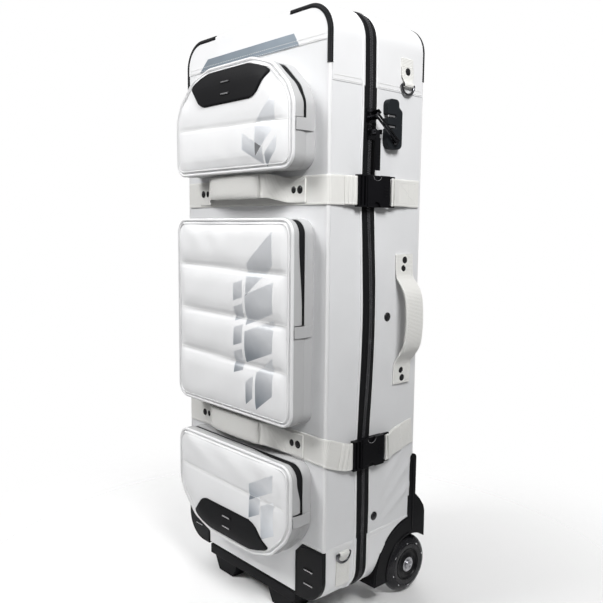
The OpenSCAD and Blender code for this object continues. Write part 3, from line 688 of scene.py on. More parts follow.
def canvas(name, rgb, pitch=1.3, roughness=0.62, depth=0.10, cloudy=0.05):
    """Coated woven polyester: a fine plain weave under a slightly cloudy coating, with
    the gaps between threads painted darker as shade, and faint wear."""
    paint = Paint(name, rgb, roughness, sheen_weight=0.15, sheen_roughness=0.5)
    x, y, z = paint.place()
    threads = weave(x + y, z, pitch)
    clouds = paint.noise(60.0, 3.0)
    scuffs = paint.noise(9.0, 5.0, 0.7)
    base = paint.mix(clouds, tinted(rgb, 1.0 - cloudy), tinted(rgb, 1.0 + cloudy))
    # Painted shade: the weave's low points, the gaps between threads, are darkened.
    base = paint.mix((threads * -1.0).above(0.55, 0.5) * 0.35, base, tinted(rgb, 0.86))
    paint.set("Base Color", base)
    paint.set("Roughness", scuffs * 0.18 + (roughness - 0.09))
    return paint.bump(threads * 0.5 + scuffs * 0.5, depth).material


def coated(name, rgb, roughness=0.48, depth=0.06):
    """Smooth coated fabric with a faint pebbled grain."""
    paint = Paint(name, rgb, roughness, coat_roughness=0.35)
    clouds = paint.noise(45.0, 2.0)
    grain = paint.noise(1.1, 2.0)
    paint.set("Base Color", paint.mix(clouds, tinted(rgb, 0.965), tinted(rgb, 1.03)))
    paint.set("Roughness", grain * 0.14 + (roughness - 0.07))
    return paint.bump(grain, depth).material


def webbing(name, rgb, rib=1.9):
    """Polyester webbing: ribs across the strap from a folded wave, two woven edges, and a
    thread tone that changes a little along it."""
    paint = Paint(name, rgb, 0.72, sheen_weight=0.25, sheen_roughness=0.45)
    along, across = paint.cloth_place()
    ribs = (along * (math.pi / rib)).sin().abs()
    threads = (across * (2 * math.pi / 1.25)).sin()
    edge = across.abs().above(WEBBING_W / 2 - 3.2, 0.35)
    clouds = paint.noise(14.0, 3.0)
    # Painted shade: the valleys between the ribs are darker than their crests.
    base = paint.mix(ribs.above(0.42, 0.4), tinted(rgb, 0.83), rgb)
    base = paint.mix(clouds * 0.35, base, tinted(rgb, 0.93))
    paint.set("Base Color", paint.mix(edge * 0.4, base, tinted(rgb, 1.08)))
    return paint.bump(ribs * 0.75 + threads * 0.2 + edge * 0.4, 0.42).material


def moulded(name, rgb, roughness=0.42, grain=0.9, depth=0.05, coat=0.0, shine=0.08):
    """Moulded plastic with a fine spark-eroded grain and slightly polished patches."""
    paint = Paint(name, rgb, roughness, coat_weight=coat, coat_roughness=0.2,
                  specular_ior_level=shine)
    fine = paint.noise(grain, 3.0, 0.6)
    handling = paint.noise(38.0, 4.0, 0.6)
    paint.set("Roughness", handling * 0.22 + fine * 0.08 + (roughness - 0.15))
    paint.set("Base Color", paint.mix(handling, tinted(rgb, 0.8), tinted(rgb, 1.5)))
    return paint.bump(fine, depth).material


def polished_metal(name, rgb, roughness=0.16):
    """Plated metal with small handling marks."""
    paint = Paint(name, rgb, roughness, metallic=1.0)
    marks = paint.noise(5.0, 5.0, 0.65)
    paint.set("Roughness", marks * 0.2 + (roughness - 0.08))
    paint.set("Base Color", paint.mix(marks, tinted(rgb, 0.8), tinted(rgb, 1.15)))
    return paint.bump(marks, 0.02).material


def brushed_metal(name, rgb, stretch, roughness=0.3):
    """Anodised metal with fine lines along one direction."""
    paint = Paint(name, rgb, roughness, metallic=1.0)
    lines = paint.noise(1.6, 4.0, 0.7, stretch)
    paint.set("Roughness", lines * 0.2 + (roughness - 0.1))
    paint.set("Base Color", paint.mix(lines, tinted(rgb, 0.86), tinted(rgb, 1.08)))
    return paint.bump(lines, 0.02).material


def ribbed_rubber(name, rgb, pitch):
    """Rubber with fine cross ribs along the piece."""
    paint = Paint(name, rgb, 0.55, specular_ior_level=0.15)
    along, _ = paint.cloth_place()
    ribs = (along * (math.pi / pitch)).sin().abs()
    dust = paint.noise(12.0, 4.0)
    paint.set("Base Color", paint.mix(dust, rgb, tinted(rgb, 2.0)))
    paint.set("Roughness", dust * 0.2 + 0.42)
    return paint.bump(ribs, 0.35).material


def zipper_cloth(name):
    """Black zipper tape: slanting twill lines and dust."""
    rgb = (0.004, 0.004, 0.005)
    paint = Paint(name, rgb, 0.7, specular_ior_level=0.15)
    along, across = paint.cloth_place()
    twill = ((along + across * 1.2) * (math.pi / 0.9)).sin().abs()
    dust = paint.noise(7.0, 4.0)
    # Lighter where the twill ridges stand up, as painted highlight, and where there is dust.
    paint.set("Base Color", paint.mix(twill * 0.6 + dust * 0.3, rgb, (0.012, 0.012, 0.013)))
    paint.set("Roughness", dust * 0.2 + 0.55)
    return paint.bump(twill, 0.18).material


def wheel_rubber(name):
    """Dark cast polyurethane: glossy, with faint moulding rings about the axle."""
    rgb = (0.006, 0.006, 0.008)
    paint = Paint(name, rgb, 0.2, coat_weight=0.1, coat_roughness=0.08, specular_ior_level=0.3)
    _, y, z = paint.place()
    centre = (WHEEL_RIGHT * MM + ORIGIN) / MM
    off = ((y - centre[1]) ** 2.0 + (z - centre[2]) ** 2.0) ** 0.5
    rings = (off * (2 * math.pi / 3.4)).sin()
    dust = paint.noise(6.0, 5.0, 0.7)
    paint.set("Roughness", dust * 0.3 + 0.1)
    paint.set("Base Color", paint.mix(dust * 0.6, rgb, (0.018, 0.018, 0.021)))
    return paint.bump(rings * 0.3 + dust * 0.3, 0.12).material


def slanted(x, z, centre, half, lean, soft=0.4):
    """1 inside a bar with upright sides and slanted ends: half its width and height are
    given, and its ends rise by lean for each millimetre across."""
    off = x - centre[0]
    along = (z - centre[1] - off * lean).abs()
    return (1.0 - off.abs().above(half[0], soft)) * (1.0 - along.above(half[1], soft))


def pocket_cloth(name, bars):
    """The pockets' coated fabric with a metallic print: slanted bars that fade from a light
    to a dark end, given as (x, z, half width, half height, lean, shade) in bag millimetres."""
    pocket = look("pocket")
    rgb = tuple(pocket.fabric)
    paint = Paint(name, rgb, 0.55, sheen_weight=0.12, sheen_roughness=0.4)
    x, _, z = paint.place()
    x = x - float(ORIGIN[0] / MM)
    threads = weave(x, z, 1.1)
    clouds = paint.noise(50.0, 3.0)
    fine = paint.noise(6.0, 5.0, 0.65)
    base = paint.mix(clouds, tinted(rgb, 0.96), tinted(rgb, 1.04))
    # Painted shade: the weave's low points, the gaps between threads, are darkened.
    base = paint.mix((threads * -1.0).above(0.5, 0.5) * 0.2, base, tinted(rgb, 0.9))
    printed = 0.0
    tone = 0.0
    for at_x, at_z, half_w, half_h, lean, shade in bars:
        bar = slanted(x, z, (at_x, at_z), (half_w, half_h), lean)
        fade = (z - (at_z - half_h) + (x - at_x) * 0.4) / (2 * half_h)
        printed = bar + printed
        tone = bar * (fade * shade + (1.1 - shade)) + tone
    if bars:
        silver = paint.mix(tone + clouds * 0.5 - 0.2, tuple(pocket.print_dark),
                           (0.88, 0.90, 0.93))
        base = paint.mix(printed, base, silver)
        paint.set("Metallic", printed * 0.55)
        paint.set("Roughness", fine * 0.15 + 0.48 - printed * 0.22)
    else:
        paint.set("Roughness", fine * 0.15 + 0.48)
    paint.set("Base Color", base)
    return paint.bump(threads * 0.4 + fine * 0.5, 0.09).material


def reflective(name):
    """Grey-blue reflective tape: tiny beads under a satin face."""
    rgb = (0.22, 0.26, 0.30)
    paint = Paint(name, rgb, 0.35, metallic=0.35)
    beads = paint.noise(0.8, 2.0)
    clouds = paint.noise(40.0, 2.0)
    paint.set("Base Color", paint.mix(clouds, tinted(rgb, 0.9), tinted(rgb, 1.15)))
    paint.set("Roughness", beads * 0.2 + 0.28)
    return paint.bump(beads, 0.03).material


def glossy_dome(name):
    """Black lacquered rivet caps."""
    paint = Paint(name, (0.008, 0.008, 0.009), 0.2, coat_weight=0.25, coat_roughness=0.1,
                  specular_ior_level=0.3)
    marks = paint.noise(4.0, 4.0)
    paint.set("Roughness", marks * 0.25 + 0.1)
    paint.set("Base Color", paint.mix(marks, (0.005, 0.005, 0.006), (0.02, 0.02, 0.021)))
    return paint.bump(marks, 0.02).material


PAINTS = {}


def make_paints():
    """Every material of the bag, by the name the pieces use."""
    shell, pocket, trim = look("shell"), look("pocket"), look("trim")
    black = tuple(trim.black)
    PAINTS.update(
        canvas=canvas("side_canvas", tuple(shell.fabric)),
        front=canvas("front_canvas", tuple(shell.fabric), 1.2, 0.58, 0.08),
        overlay=coated("overlay_coated", tuple(shell.overlay)),
        lining=canvas("lining_nylon", tuple(shell.lining), 2.2, 0.6, 0.12),
        # The gussets and zipper covers wear the pocket fabric darkened to 0.56 of its colour: painted
        # shade on the pocket sides.
        gusset=coated("gusset_coated", tinted(tuple(pocket.fabric), 0.56), 0.5),
        piping=coated("piping_vinyl", (0.76, 0.76, 0.765), 0.4, 0.03),
        webbing=webbing("webbing_white", tuple(trim.webbing)),
        sleeve=webbing("grip_sleeve", tinted(tuple(trim.webbing), 1.02), 0.9),
        thread=canvas("thread", (0.80, 0.80, 0.78), 0.8, 0.6),
        zipper=zipper_cloth("zipper_tape"),
        # The coil's dark grey, lighter than the tape's black, is partly its own colour and partly
        # painted highlight for its dotted coil.
        coil=moulded("zipper_coil", (0.035, 0.035, 0.038), 0.25, 0.8, 0.02, 0.0, 0.6),
        rib=ribbed_rubber("ribbed_rubber", (0.005, 0.005, 0.006), 2.6),
        rubber=moulded("moulded_rubber", (0.005, 0.005, 0.006), 0.55, 0.7, 0.04, 0.0, 0.12),
        plastic=moulded("black_plastic", black, 0.42),
        satin=moulded("satin_black", black, 0.34, 1.1, 0.03, 0.05),
        acetal=moulded("buckle_acetal", (0.005, 0.005, 0.006), 0.34, 0.8, 0.03, 0.05),
        lock=moulded("lock_paint", (0.014, 0.016, 0.018), 0.38, 0.7, 0.04),
        gunmetal=polished_metal("gunmetal", (0.055, 0.055, 0.06), 0.24),
        button=moulded("button_plastic", (0.11, 0.115, 0.12), 0.45),
        board=moulded("board_sheet", (0.012, 0.012, 0.014), 0.5, 1.4, 0.05),
        dark_chrome=polished_metal("dark_chrome", (0.16, 0.16, 0.17)),
        # Bright plated metal; on the guards' slots, in the lock's slots and on the tyres it stands for
        # glints, as painted highlights.
        bright=polished_metal("bright_plate", (0.78, 0.78, 0.80), 0.2),
        tube=brushed_metal("tube_anodised", (0.62, 0.63, 0.65), (1.0, 1.0, 0.02)),
        steel=brushed_metal("axle_steel", (0.5, 0.5, 0.52), (0.05, 1.0, 1.0)),
        tyre=wheel_rubber("wheel_rubber"),
        hub=moulded("hub_nylon", (0.005, 0.005, 0.006), 0.28, 1.2, 0.03, 0.1, 0.2),
        band=reflective("reflective_band"),
        rivet=glossy_dome("rivet_lacquer"),
    )


# ---------- shell ----------

SEAM_TILT = 6.0
WELL_EDGE = 76.0
FENDER_TOP = WHEEL_RIGHT[2] + 112.5
BAY_X = HALF_W - 44.5


def low_seam(y):
    """Height of the bottom overlay's seam on the sides, which rises a little to the back."""
    return SEAM_LOW + SEAM_TILT * y / BODY_D


def arch_top(y):
    """Height of the wheel arch over the depth y."""
    return WHEEL_RIGHT[2] + np.sqrt(np.maximum(WELL_EDGE ** 2 - (y - WHEEL_RIGHT[1]) ** 2, 0))


def arch_front(s):
    """Depth at which the wheel arch starts beside the outline's point at distance s."""
    rise = walk(s)[1] - WHEEL_RIGHT[2]
    return WHEEL_RIGHT[1] - np.sqrt(np.maximum(WELL_EDGE ** 2 - rise ** 2, 0))


def half_width(z, inset):
    """Half the shell's width at the height z, for its outline moved in by inset."""
    edge = (OUTLINE - OUTWARD * inset)[1:HALF_TABLE]
    return np.interp(z, edge[:, 1], edge[:, 0])


def face_points(x, z, at_y, facing, lift=0.0):
    """A point of the flat front or back: it swells by a shallow dome and soft unevenness."""
    shell = look("shell")
    width = np.clip(np.abs(x) / HALF_W, 0, 1)
    height = np.clip(np.abs(z - BAG_MIDDLE[2]) / (BAG_MIDDLE[2] - SHELL_LOW), 0, 1)
    dome = (1 - width ** 4) * (1 - height ** 8)
    off = shell.front_crown * dome + shell.drift * dome * drift(x, z, 2.0 + facing) + lift
    return np.stack([x, at_y + facing * off, z], -1)


def face_patch(form, z_low, z_high, at_y, facing, lift=0.0, widest=HALF_W):
    """A stretch of the front or back between two heights, as wide as the shell's outline
    or at most widest to each side."""
    rows = np.linspace(z_low, z_high, int((z_high - z_low) / 4) + 3)
    wide = np.minimum(half_width(rows, PIPING_R), widest)
    across = np.linspace(-1, 1, 81)
    x, z = wide[:, None] * across, np.repeat(rows[:, None], 81, 1)
    return cloth(form, face_points(x, z, at_y, facing, lift), WALL,
                 flat=np.stack([x, z], -1) * MM)


def build_lid_shell():
    """Front half: front panel, sides and the smooth overlays that wrap its ends."""
    lift = look("shell").overlay_lift
    seam_top = SHELL_HIGH - look("shell").front_seam_drop
    low, high = SHELL_LOW + PIPING_R, SHELL_HIGH - PIPING_R
    front = Form()
    face_patch(front, low, high, 0.8, -1)
    piece("front_fabric", front, "lid", [PAINTS["front"], PAINTS["lining"]],
          ["front_panel"])
    caps = Form()
    face_patch(caps, seam_top, high, 0.8, -1, lift)
    face_patch(caps, low, low_seam(0.0), 0.8, -1, lift)
    edge = PIPING_D - 2
    wall_patch(caps, right_at(SEAM_HIGH), ROUND - right_at(SEAM_HIGH), edge, ZIP_FRONT, lift)
    wall_patch(caps, lambda y: -right_at(low_seam(y)), lambda y: right_at(low_seam(y)), edge,
               ZIP_FRONT, lift)
    piece("lid_overlays", caps, "lid", [PAINTS["overlay"], PAINTS["lining"]],
          ["lid_end_panels"])
    sides = Form()
    wall_patch(sides, lambda y: right_at(low_seam(y) - 5), lambda y: right_at(SEAM_HIGH + 5), edge,
               ZIP_FRONT)
    mirror_level(sides)
    piece("lid_sides", sides, "lid", [PAINTS["canvas"], PAINTS["lining"]],
          ["lid_side_panels"])


def build_base_shell():
    """Back half: back panel, sides round the wheel arches, and the overlays."""
    lift = look("shell").overlay_lift
    edge = BODY_D - PIPING_D + 2
    back = Form()
    face_patch(back, FENDER_TOP - 1, SHELL_HIGH - PIPING_R, BODY_D - 0.8, 1)
    face_patch(back, SHELL_LOW + PIPING_R, FENDER_TOP, BODY_D - 0.8, 1, 0.0, BAY_X)
    piece("back_fabric", back, "base", [PAINTS["front"], PAINTS["lining"]],
          ["back_panel"])
    sides = Form()
    wall_patch(sides, lambda y: right_at(np.maximum(low_seam(y), arch_top(y)) - 5),
               lambda y: right_at(SEAM_HIGH + 5), ZIP_BACK, edge)
    mirror_level(sides)
    piece("base_sides", sides, "base", [PAINTS["canvas"], PAINTS["lining"]],
          ["base_side_panels"])
    caps = Form()
    corner = BEZEL_HIGH[0] + 0.4
    top = ROUND / 2
    wall_patch(caps, right_at(SEAM_HIGH), top - corner, ZIP_BACK, edge, lift)
    wall_patch(caps, top + corner, ROUND - right_at(SEAM_HIGH), ZIP_BACK, edge, lift)
    wall_patch(caps, top - corner, top + corner, ZIP_BACK, BEZEL_LOW[1] - 0.4, lift)
    wall_patch(caps, -BAY_X, BAY_X, ZIP_BACK, edge, lift)
    for turn in (1, -1):
        wall_patch(caps, lambda y, turn=turn: turn * (BAY_X - 4),
                   lambda y, turn=turn: turn * right_at(low_seam(y)), ZIP_BACK, arch_front, lift)
    piece("base_overlays", caps, "base", [PAINTS["overlay"], PAINTS["lining"]],
          ["base_end_panels"])


def edge_path(y, start, end, inset, step=4.0):
    """The shell's outline between two distances, moved in by inset, at the depth y."""
    s = np.linspace(start, end, int(abs(end - start) / step) + 2)
    x, z, nx, nz = walk(s)
    path = np.stack([x - nx * inset, np.full(len(s), y), z - nz * inset], -1)
    return path, np.stack([nx, 0 * nx, nz], -1)


def build_piping():
    """White piping on the front and back edges, and ribbed rubber over the top corners."""
    leg_low = right_at(BINDING_LOW)
    leg_top = ROUND / 2 - (HALF_W - CORNER_R) + (SHELL_HIGH - CORNER_R - BINDING_LOW)
    guard_top = right_at(room("corner_guards")[1][2])
    rail_top = right_at(HOUSING_HIGH[2] + 0.5)
    for name, body, y, foot in (("front_piping", "lid", PIPING_R, guard_top),
                                ("back_piping", "base", BODY_D - PIPING_R, rail_top)):
        tube = oval(PIPING_R, PIPING_R, 16)
        form = Form()
        for start, end in ((foot, leg_low), (leg_top, ROUND - leg_top),
                           (ROUND - leg_low, ROUND - foot)):
            path, out = edge_path(y, start, end, PIPING_R)
            sweep(form, path, tube, out)
        if body == "base":
            path, out = edge_path(y, -BAY_X, BAY_X, PIPING_R)
            sweep(form, path, tube, out)
        piece(name + "_cord", form, body, [PAINTS["piping"]], [name])
        binding = Form()
        for start, end in ((leg_low - 1, leg_top + 1), (ROUND - leg_top - 1, ROUND - leg_low + 1)):
            path, out = edge_path(y, start, end, PIPING_R - 0.2, 0.65)
            s = np.linspace(start, end, len(path))
            ribbed = PIPING_R + 0.55 + 0.4 * np.abs(np.sin(s * math.pi / 2.6))
            rings = oval(1, 1, 14, 2.4)[None] * ribbed[:, None, None]
            sweep(binding, path, rings, out)
        node = "front_corner_binding" if body == "lid" else "back_corner_binding"
        piece(node + "_ribs", binding, body, [PAINTS["rib"]], [node])


def wall_path(start, end, y, lift, step=4.0):
    """A line on the shell's outer face at the depth y, lifted, and its outward normals."""
    s = np.linspace(start, end, int(abs(end - start) / step) + 2)
    _, _, nx, nz = walk(s)
    return wall_points(s, np.full(len(s), float(y)), lift), np.stack([nx, 0 * nx, nz], -1)


TAPE_TUCK, TAPE_GAP, COIL_PITCH = 2.4, 0.15, 3.2


def build_zipper():
    """Two black tapes with a coil where they meet, a piped edge on the front half, a folded
    edge on the back half, and the cloth hinge on the other side."""
    hinge_x = HALF_W - CORNER_R
    start, end = -hinge_x, ROUND / 2 + hinge_x
    for name, body, low, high, side in (
            ("zipper_tape_lid", "lid", ZIP_FRONT - TAPE_TUCK, ZIP_MID - TAPE_GAP, -1),
            ("zipper_tape_base", "base", ZIP_MID + TAPE_GAP, ZIP_BACK + TAPE_TUCK, 1)):
        tape = Form()
        wall_patch(tape, start, end, low, high, 0.6, 2.2, 3.0)
        piece(name + "_cloth", tape, body, [PAINTS["zipper"]], [name])
        coil = Form()
        path, out = wall_path(start + 2, end - 2, ZIP_MID + side * 1.5, 1.2, 0.8)
        s = np.arange(len(path)) * 0.8
        bumps = 1.0 - 0.4 * side * np.sin(s * 2 * math.pi / COIL_PITCH)
        sweep(coil, path, oval(1.25, 1.1, 8)[None] * bumps[:, None, None], out)
        piece(name + "_coil", coil, body, [PAINTS["coil"]])
        lips = Form()
        for off, radius in ((6.2, 0.55), (3.6, 0.4)):
            path, out = wall_path(start + 1, end - 1, ZIP_MID + side * off, 0.45, 6.0)
            sweep(lips, path, oval(radius, radius, 6), out)
        piece(name + "_weave", lips, body, [PAINTS["zipper"]])
    for name, body, y, radius, slot in (
            ("zipper_piping", "lid", ZIP_FRONT - 3.6, 1.7, "white_piping"),
            ("zipper_fold", "base", ZIP_BACK + 3.0, 1.2, "overlay_fabric")):
        form = Form()
        path, out = wall_path(start, end, y, 0.4)
        sweep(form, path, oval(radius, radius, 14), out)
        piece(name, form, body, [PAINTS["piping"]])
    strip = Form()
    wall_patch(strip, ROUND / 2 + hinge_x + 1, ROUND - hinge_x - 1, ZIP_FRONT - 3, ZIP_BACK + 3,
               -0.6, 1.8, 3.0)
    obj = piece("hinge_cloth", strip, "base", [PAINTS["canvas"], PAINTS["lining"]],
                ["hinge_strip"])
    unparent(obj)
    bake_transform(obj)


def unparent(obj):
    """Frees a piece from its body."""
    obj.parent = None
    obj.matrix_world = obj.matrix_world.Identity(4)


def bend(obj, hinge_z, reach=14.0):
    """Frees a piece from its body and bakes its transform into its mesh."""
    unparent(obj)
    y = POCKET_FRONT * MM + ORIGIN[1]
    (hinge_z - reach) * MM
    (hinge_z + reach) * MM
    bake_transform(obj)


def stitches(form, path, out, pitch=4.2, long=2.7, radius=0.42):
    """A row of stitches along a path: each is a thin bead with tapered ends."""
    path = np.asarray(path, float)
    travel = travelled(path)
    at = np.arange(pitch / 2, travel[-1], pitch)
    spot = np.stack([np.interp(at, travel, path[:, k]) for k in range(3)], -1)
    along = np.stack([np.interp(at, travel, np.gradient(path[:, k], travel)) for k in range(3)], -1)
    out = np.broadcast_to(np.asarray(out, float), path.shape)
    up = np.stack([np.interp(at, travel, out[:, k]) for k in range(3)], -1)
    along, up = unit(along), unit(up)
    side = np.cross(along, up)
    turn = np.linspace(0, 2 * np.pi, 6, endpoint=False)
    reach = np.array([-0.5, -0.32, 0.32, 0.5]) * long
    thick = np.array([0.35, 1.0, 1.0, 0.35]) * radius
    local = (reach[:, None, None] * along[:, None, None, :]
             + thick[:, None, None] * (np.cos(turn)[:, None] * side[:, None, None, :]
                                       + np.sin(turn)[:, None] * up[:, None, None, :]))
    points = spot[:, None, None, :] + local
    block = quads(4, 6, False, True)
    shift = np.arange(len(spot))[:, None, None] * 24
    caps = [(np.arange(6)[::-1] + shift[:, 0]), (np.arange(6) + 18 + shift[:, 0])]
    return form.add(points, [(block + shift).reshape(-1, 4)] + caps)


def build_seams():
    """Double rows of stitches along the overlays' seams, and the reflective band."""
    shell = look("shell")
    lift = shell.overlay_lift + 0.25
    seam_top = SHELL_HIGH - shell.front_seam_drop
    for name, body, low, high in (("lid", "lid", PIPING_D, ZIP_FRONT - 6),
                                  ("base", "base", ZIP_BACK + 3, BODY_D - PIPING_D - 1)):
        form = Form()
        y = np.linspace(low, high, 24)
        for inset in (2.0, 7.0):
            upper = wall_points(right_at(np.full(24, SEAM_HIGH + inset)), y, lift)
            stitches(form, upper, (1, 0, 0))
            reach = y if name == "lid" else np.linspace(low, 140, 24)
            seam = low_seam(reach) - inset
            if name == "base":
                keep = arch_top(reach) < seam - 2
                reach, seam = reach[keep], seam[keep]
            stitches(form, wall_points(right_at(seam), reach, lift), (1, 0, 0))
        mirror_level(form)
        if name == "lid":
            x = np.linspace(-HALF_W + 9, HALF_W - 9, 60)
            for inset in (2.0, 7.0):
                z = np.full(60, seam_top + inset)
                stitches(form, face_points(x, z, 0.8, -1, lift), (0, -1, 0))
                stitches(form, face_points(x, z * 0 + low_seam(0.0) - inset, 0.8, -1, lift),
                         (0, -1, 0))
        piece(name + "_stitches", form, body, [PAINTS["thread"]])
    rows = np.linspace(0, 1, 8)[:, None]
    across = np.linspace(0, 1, 60)[None]
    z = seam_top + 0.5 + 17.0 * rows + 0 * across
    x = -126 + 21 * rows + across * (231 - 32 * rows)
    band = Form()
    cloth(band, face_points(x, z, 0.8, -1, shell.overlay_lift + 0.45), 0.4,
          flat=np.stack([x, z], -1) * MM)
    piece("reflective_band", band, "lid", [PAINTS["band"]])


# ---------- pockets ----------

def pocket_outline(kind):
    """The pocket's outline seen from the front. The small pockets have one straight end and
    one end with slanted shoulders, which is the top of the upper and the foot of the lower
    one."""
    low, high = room("pocket_tray_" + kind, "pocket_flap_" + kind)
    half, foot, head = high[0], low[2], high[2]
    if kind == "middle":
        corners = [(-half, foot), (half, foot), (half, head), (-half, head)]
        return round_corners(corners, 20.0)
    right = [(half, 0), (half, 84), (half - 11, 106), (half - 42, 135), (half - 86, 148)]
    tall = (head - foot) / 148
    corners = np.array(right + [(-x, z) for x, z in right[::-1]], float) * [1, tall]
    radii = [20, 26, 26, 26, 30] + [30, 26, 26, 26, 20]
    ring = round_corners(corners, radii)
    if kind == "upper":
        return ring + [0, foot]
    return (ring * [1, -1] + [0, head])[::-1]


def inset_ring(ring, inset):
    """The outline moved in along its own normals."""
    along = unit(np.roll(ring, -1, 0) - np.roll(ring, 1, 0))
    return ring - np.stack([along[:, 1], -along[:, 0]], -1) * inset


def ring_half_width(ring, z):
    """Half the width of a symmetric ring at the height z."""
    right = ring[ring[:, 0] >= 0]
    right = right[np.argsort(right[:, 1])]
    return np.interp(z, right[:, 1], right[:, 0])


SEAM_LINES = {"middle": (1.0, (459.0, 391.5, 328.5)), "upper": (0.35, (657.0,)),
              "lower": (0.35, (141.0,))}


def seam_height(line, x):
    """Height of a quilting seam at x: it falls a little to the right."""
    return SHELL_LOW + line - x / HALF_W * 4.0


def quilting(kind, x, z):
    """Depth of the sewn channels at a point of a pocket's face: a groove beside each seam
    line, and the padding's swell between them."""
    pocket = look("pocket")
    share, lines = SEAM_LINES[kind]
    total = 0.0
    for line in lines:
        off = np.abs(z - seam_height(line, x))
        wide = pocket.seam_width
        total = total + 0.5 * np.exp(-(off / (wide * 0.4)) ** 2)
        total = total + 0.5 * np.exp(-(off / (wide * 2.2)) ** 2)
    return total * pocket.seam_depth * share


def pucker(kind, x, z):
    """Small folds that run from the quilting and the corners."""
    if kind == "middle":
        return (0.55 * np.sin((x + 0.6 * z) / 9.0) * ease(z, SHELL_LOW + 470, SHELL_LOW + 505)
                * (1 - ease(z, SHELL_LOW + 520, SHELL_LOW + 530)) * (1 - ease(x, -40, 40))
                + 0.35 * np.sin((x - z) / 15.0))
    if kind == "upper":
        foot = SHELL_LOW + 592
        folds = 0.6 * np.sin(x / 8.5 + z / 30) * (1 - ease(z, foot + 8, foot + 40))
        return folds + 0.3 * drift(x, z, 4)
    head = SHELL_LOW + 200
    folds = 0.8 * np.sin((x * 0.8 + z) / 11.0) * ease(z, head - 55, head - 20)
    return folds + 0.3 * drift(x, z, 5)


def face_pad(ring):
    """The padded face as a closed pad: rows across the outline. Returns x, z and the share of
    the pad's thickness, which rolls over at the edge like a quarter circle."""
    low, high = ring[:, 1].min(), ring[:, 1].max()
    t = np.linspace(0, math.pi, 96)
    z = low + (high - low) * (1 - np.cos(t)) / 2
    z[0], z[-1] = low + 0.05, high - 0.05
    wide = ring_half_width(ring, z)
    across = np.sin(np.linspace(-math.pi / 2, math.pi / 2, 97))
    x = wide[:, None] * across
    z = np.repeat(z[:, None], 97, 1)
    edge_x = wide[:, None] * (1 - np.abs(across))
    edge_z = np.minimum(z - low, high - z)
    edge = np.minimum(edge_x, edge_z)
    return x, z, np.sqrt(1 - (1 - np.clip(edge / 9.0, 0, 1)) ** 2)


def press(obj, cap):
    """Fills a closed pad by cloth simulation: the mesh is remeshed evenly, inflated by
    pressure without gravity, and no point moves further than cap millimetres."""
    work = bpy.data.objects.new("pressing", obj.data.copy())
    bpy.context.scene.collection.objects.link(work)
    remesh = work.modifiers.new("Even", "REMESH")
    remesh.mode = "VOXEL"
    remesh.voxel_size = 4.5 * MM
    work.data = bpy.data.meshes.new_from_object(
        work.evaluated_get(bpy.context.evaluated_depsgraph_get()))
    work.modifiers.clear()
    before = np.empty(len(work.data.vertices) * 3, np.float32)
    work.data.vertices.foreach_get("co", before)
    before = before.reshape(-1, 3)
    fill = work.modifiers.new("Fill", "CLOTH")
    fill.settings.quality = 4
    fill.settings.mass = 0.35
    fill.settings.tension_stiffness = 18
    fill.settings.compression_stiffness = 18
    fill.settings.shear_stiffness = 6
    fill.settings.bending_stiffness = 0.6
    fill.settings.use_pressure = True
    fill.settings.uniform_pressure_force = 4.0
    fill.settings.effector_weights.gravity = 0.0
    fill.collision_settings.use_collision = False
    fill.point_cache.frame_start, fill.point_cache.frame_end = 1, 20
    scene = bpy.context.scene
    for number in range(1, 21):
        scene.frame_set(number)
    filled = bpy.data.meshes.new_from_object(
        work.evaluated_get(bpy.context.evaluated_depsgraph_get()))
    scene.frame_set(1)
    after = np.empty(len(filled.vertices) * 3, np.float32)
    filled.vertices.foreach_get("co", after)
    moved = after.reshape(-1, 3) - before
    far = np.linalg.norm(moved, axis=1, keepdims=True)
    moved *= np.minimum(1.0, cap * MM / np.maximum(far, 1e-9))
    bpy.data.objects.remove(work)
    return before, moved


def build_pocket_face(kind, hinge_z, bars):
    """The padded front of a pocket, quilted, with piping round its edge."""
    pocket = look("pocket")
    ring = inset_ring(even(pocket_outline(kind), 3.0, True), 1.6)
    low, high = ring[:, 1].min(), ring[:, 1].max()
    x, z, roll = face_pad(ring)
    back_y = POCKET_FRONT + 5.5
    front_y = back_y - pocket.pad * roll
    front = np.stack([x, front_y, z], -1)
    rear = np.stack([x, np.full_like(x, back_y), z], -1)
    rows, columns = x.shape
    n = rows * columns
    index = np.arange(n).reshape(rows, columns)
    border = np.concatenate([index[0, :-1], index[:-1, -1], index[-1, :0:-1], index[:0:-1, 0]])
    after = np.roll(border, -1)
    form = Form()
    points = np.concatenate([front.reshape(-1, 3), rear.reshape(-1, 3)])
    face = quads(rows, columns)
    rim = np.stack([border, after, after + n, border + n], -1)
    form.add(points, [face, face[:, ::-1] + n, rim], points[:, [0, 2]] * MM, [0, 1, 0])
    paint = pocket_cloth("pocket_" + kind + "_cloth", bars)
    obj = piece("pocket_" + kind + "_face", form, "lid", [paint, PAINTS["lining"]],
                ["pocket_flap_" + kind])
    swollen = swell_face(kind, points, low, high, ring, n)
    swollen = pressed_face(obj, swollen, rows, columns)
    obj.data.vertices.foreach_set("co", (swollen * MM + ORIGIN).astype(np.float32).ravel())
    obj.data.update()
    bend(obj, hinge_z)
    build_face_piping(kind, hinge_z, ring)
    skin = skin_of(obj)
    sewn = Form()
    for line in SEAM_LINES[kind][1]:
        x = np.linspace(-1, 1, 90) * (ring_half_width(ring, SHELL_LOW + line) - 7)
        z = seam_height(line, x)
        stitches(sewn, np.stack([x, skin(x, z) - 0.15, z], -1), (0, -1, 0), 3.6, 2.6, 0.4)
    seams = piece("pocket_" + kind + "_quilting", sewn, "lid", [PAINTS["thread"]])
    bend(seams, hinge_z)
    return obj


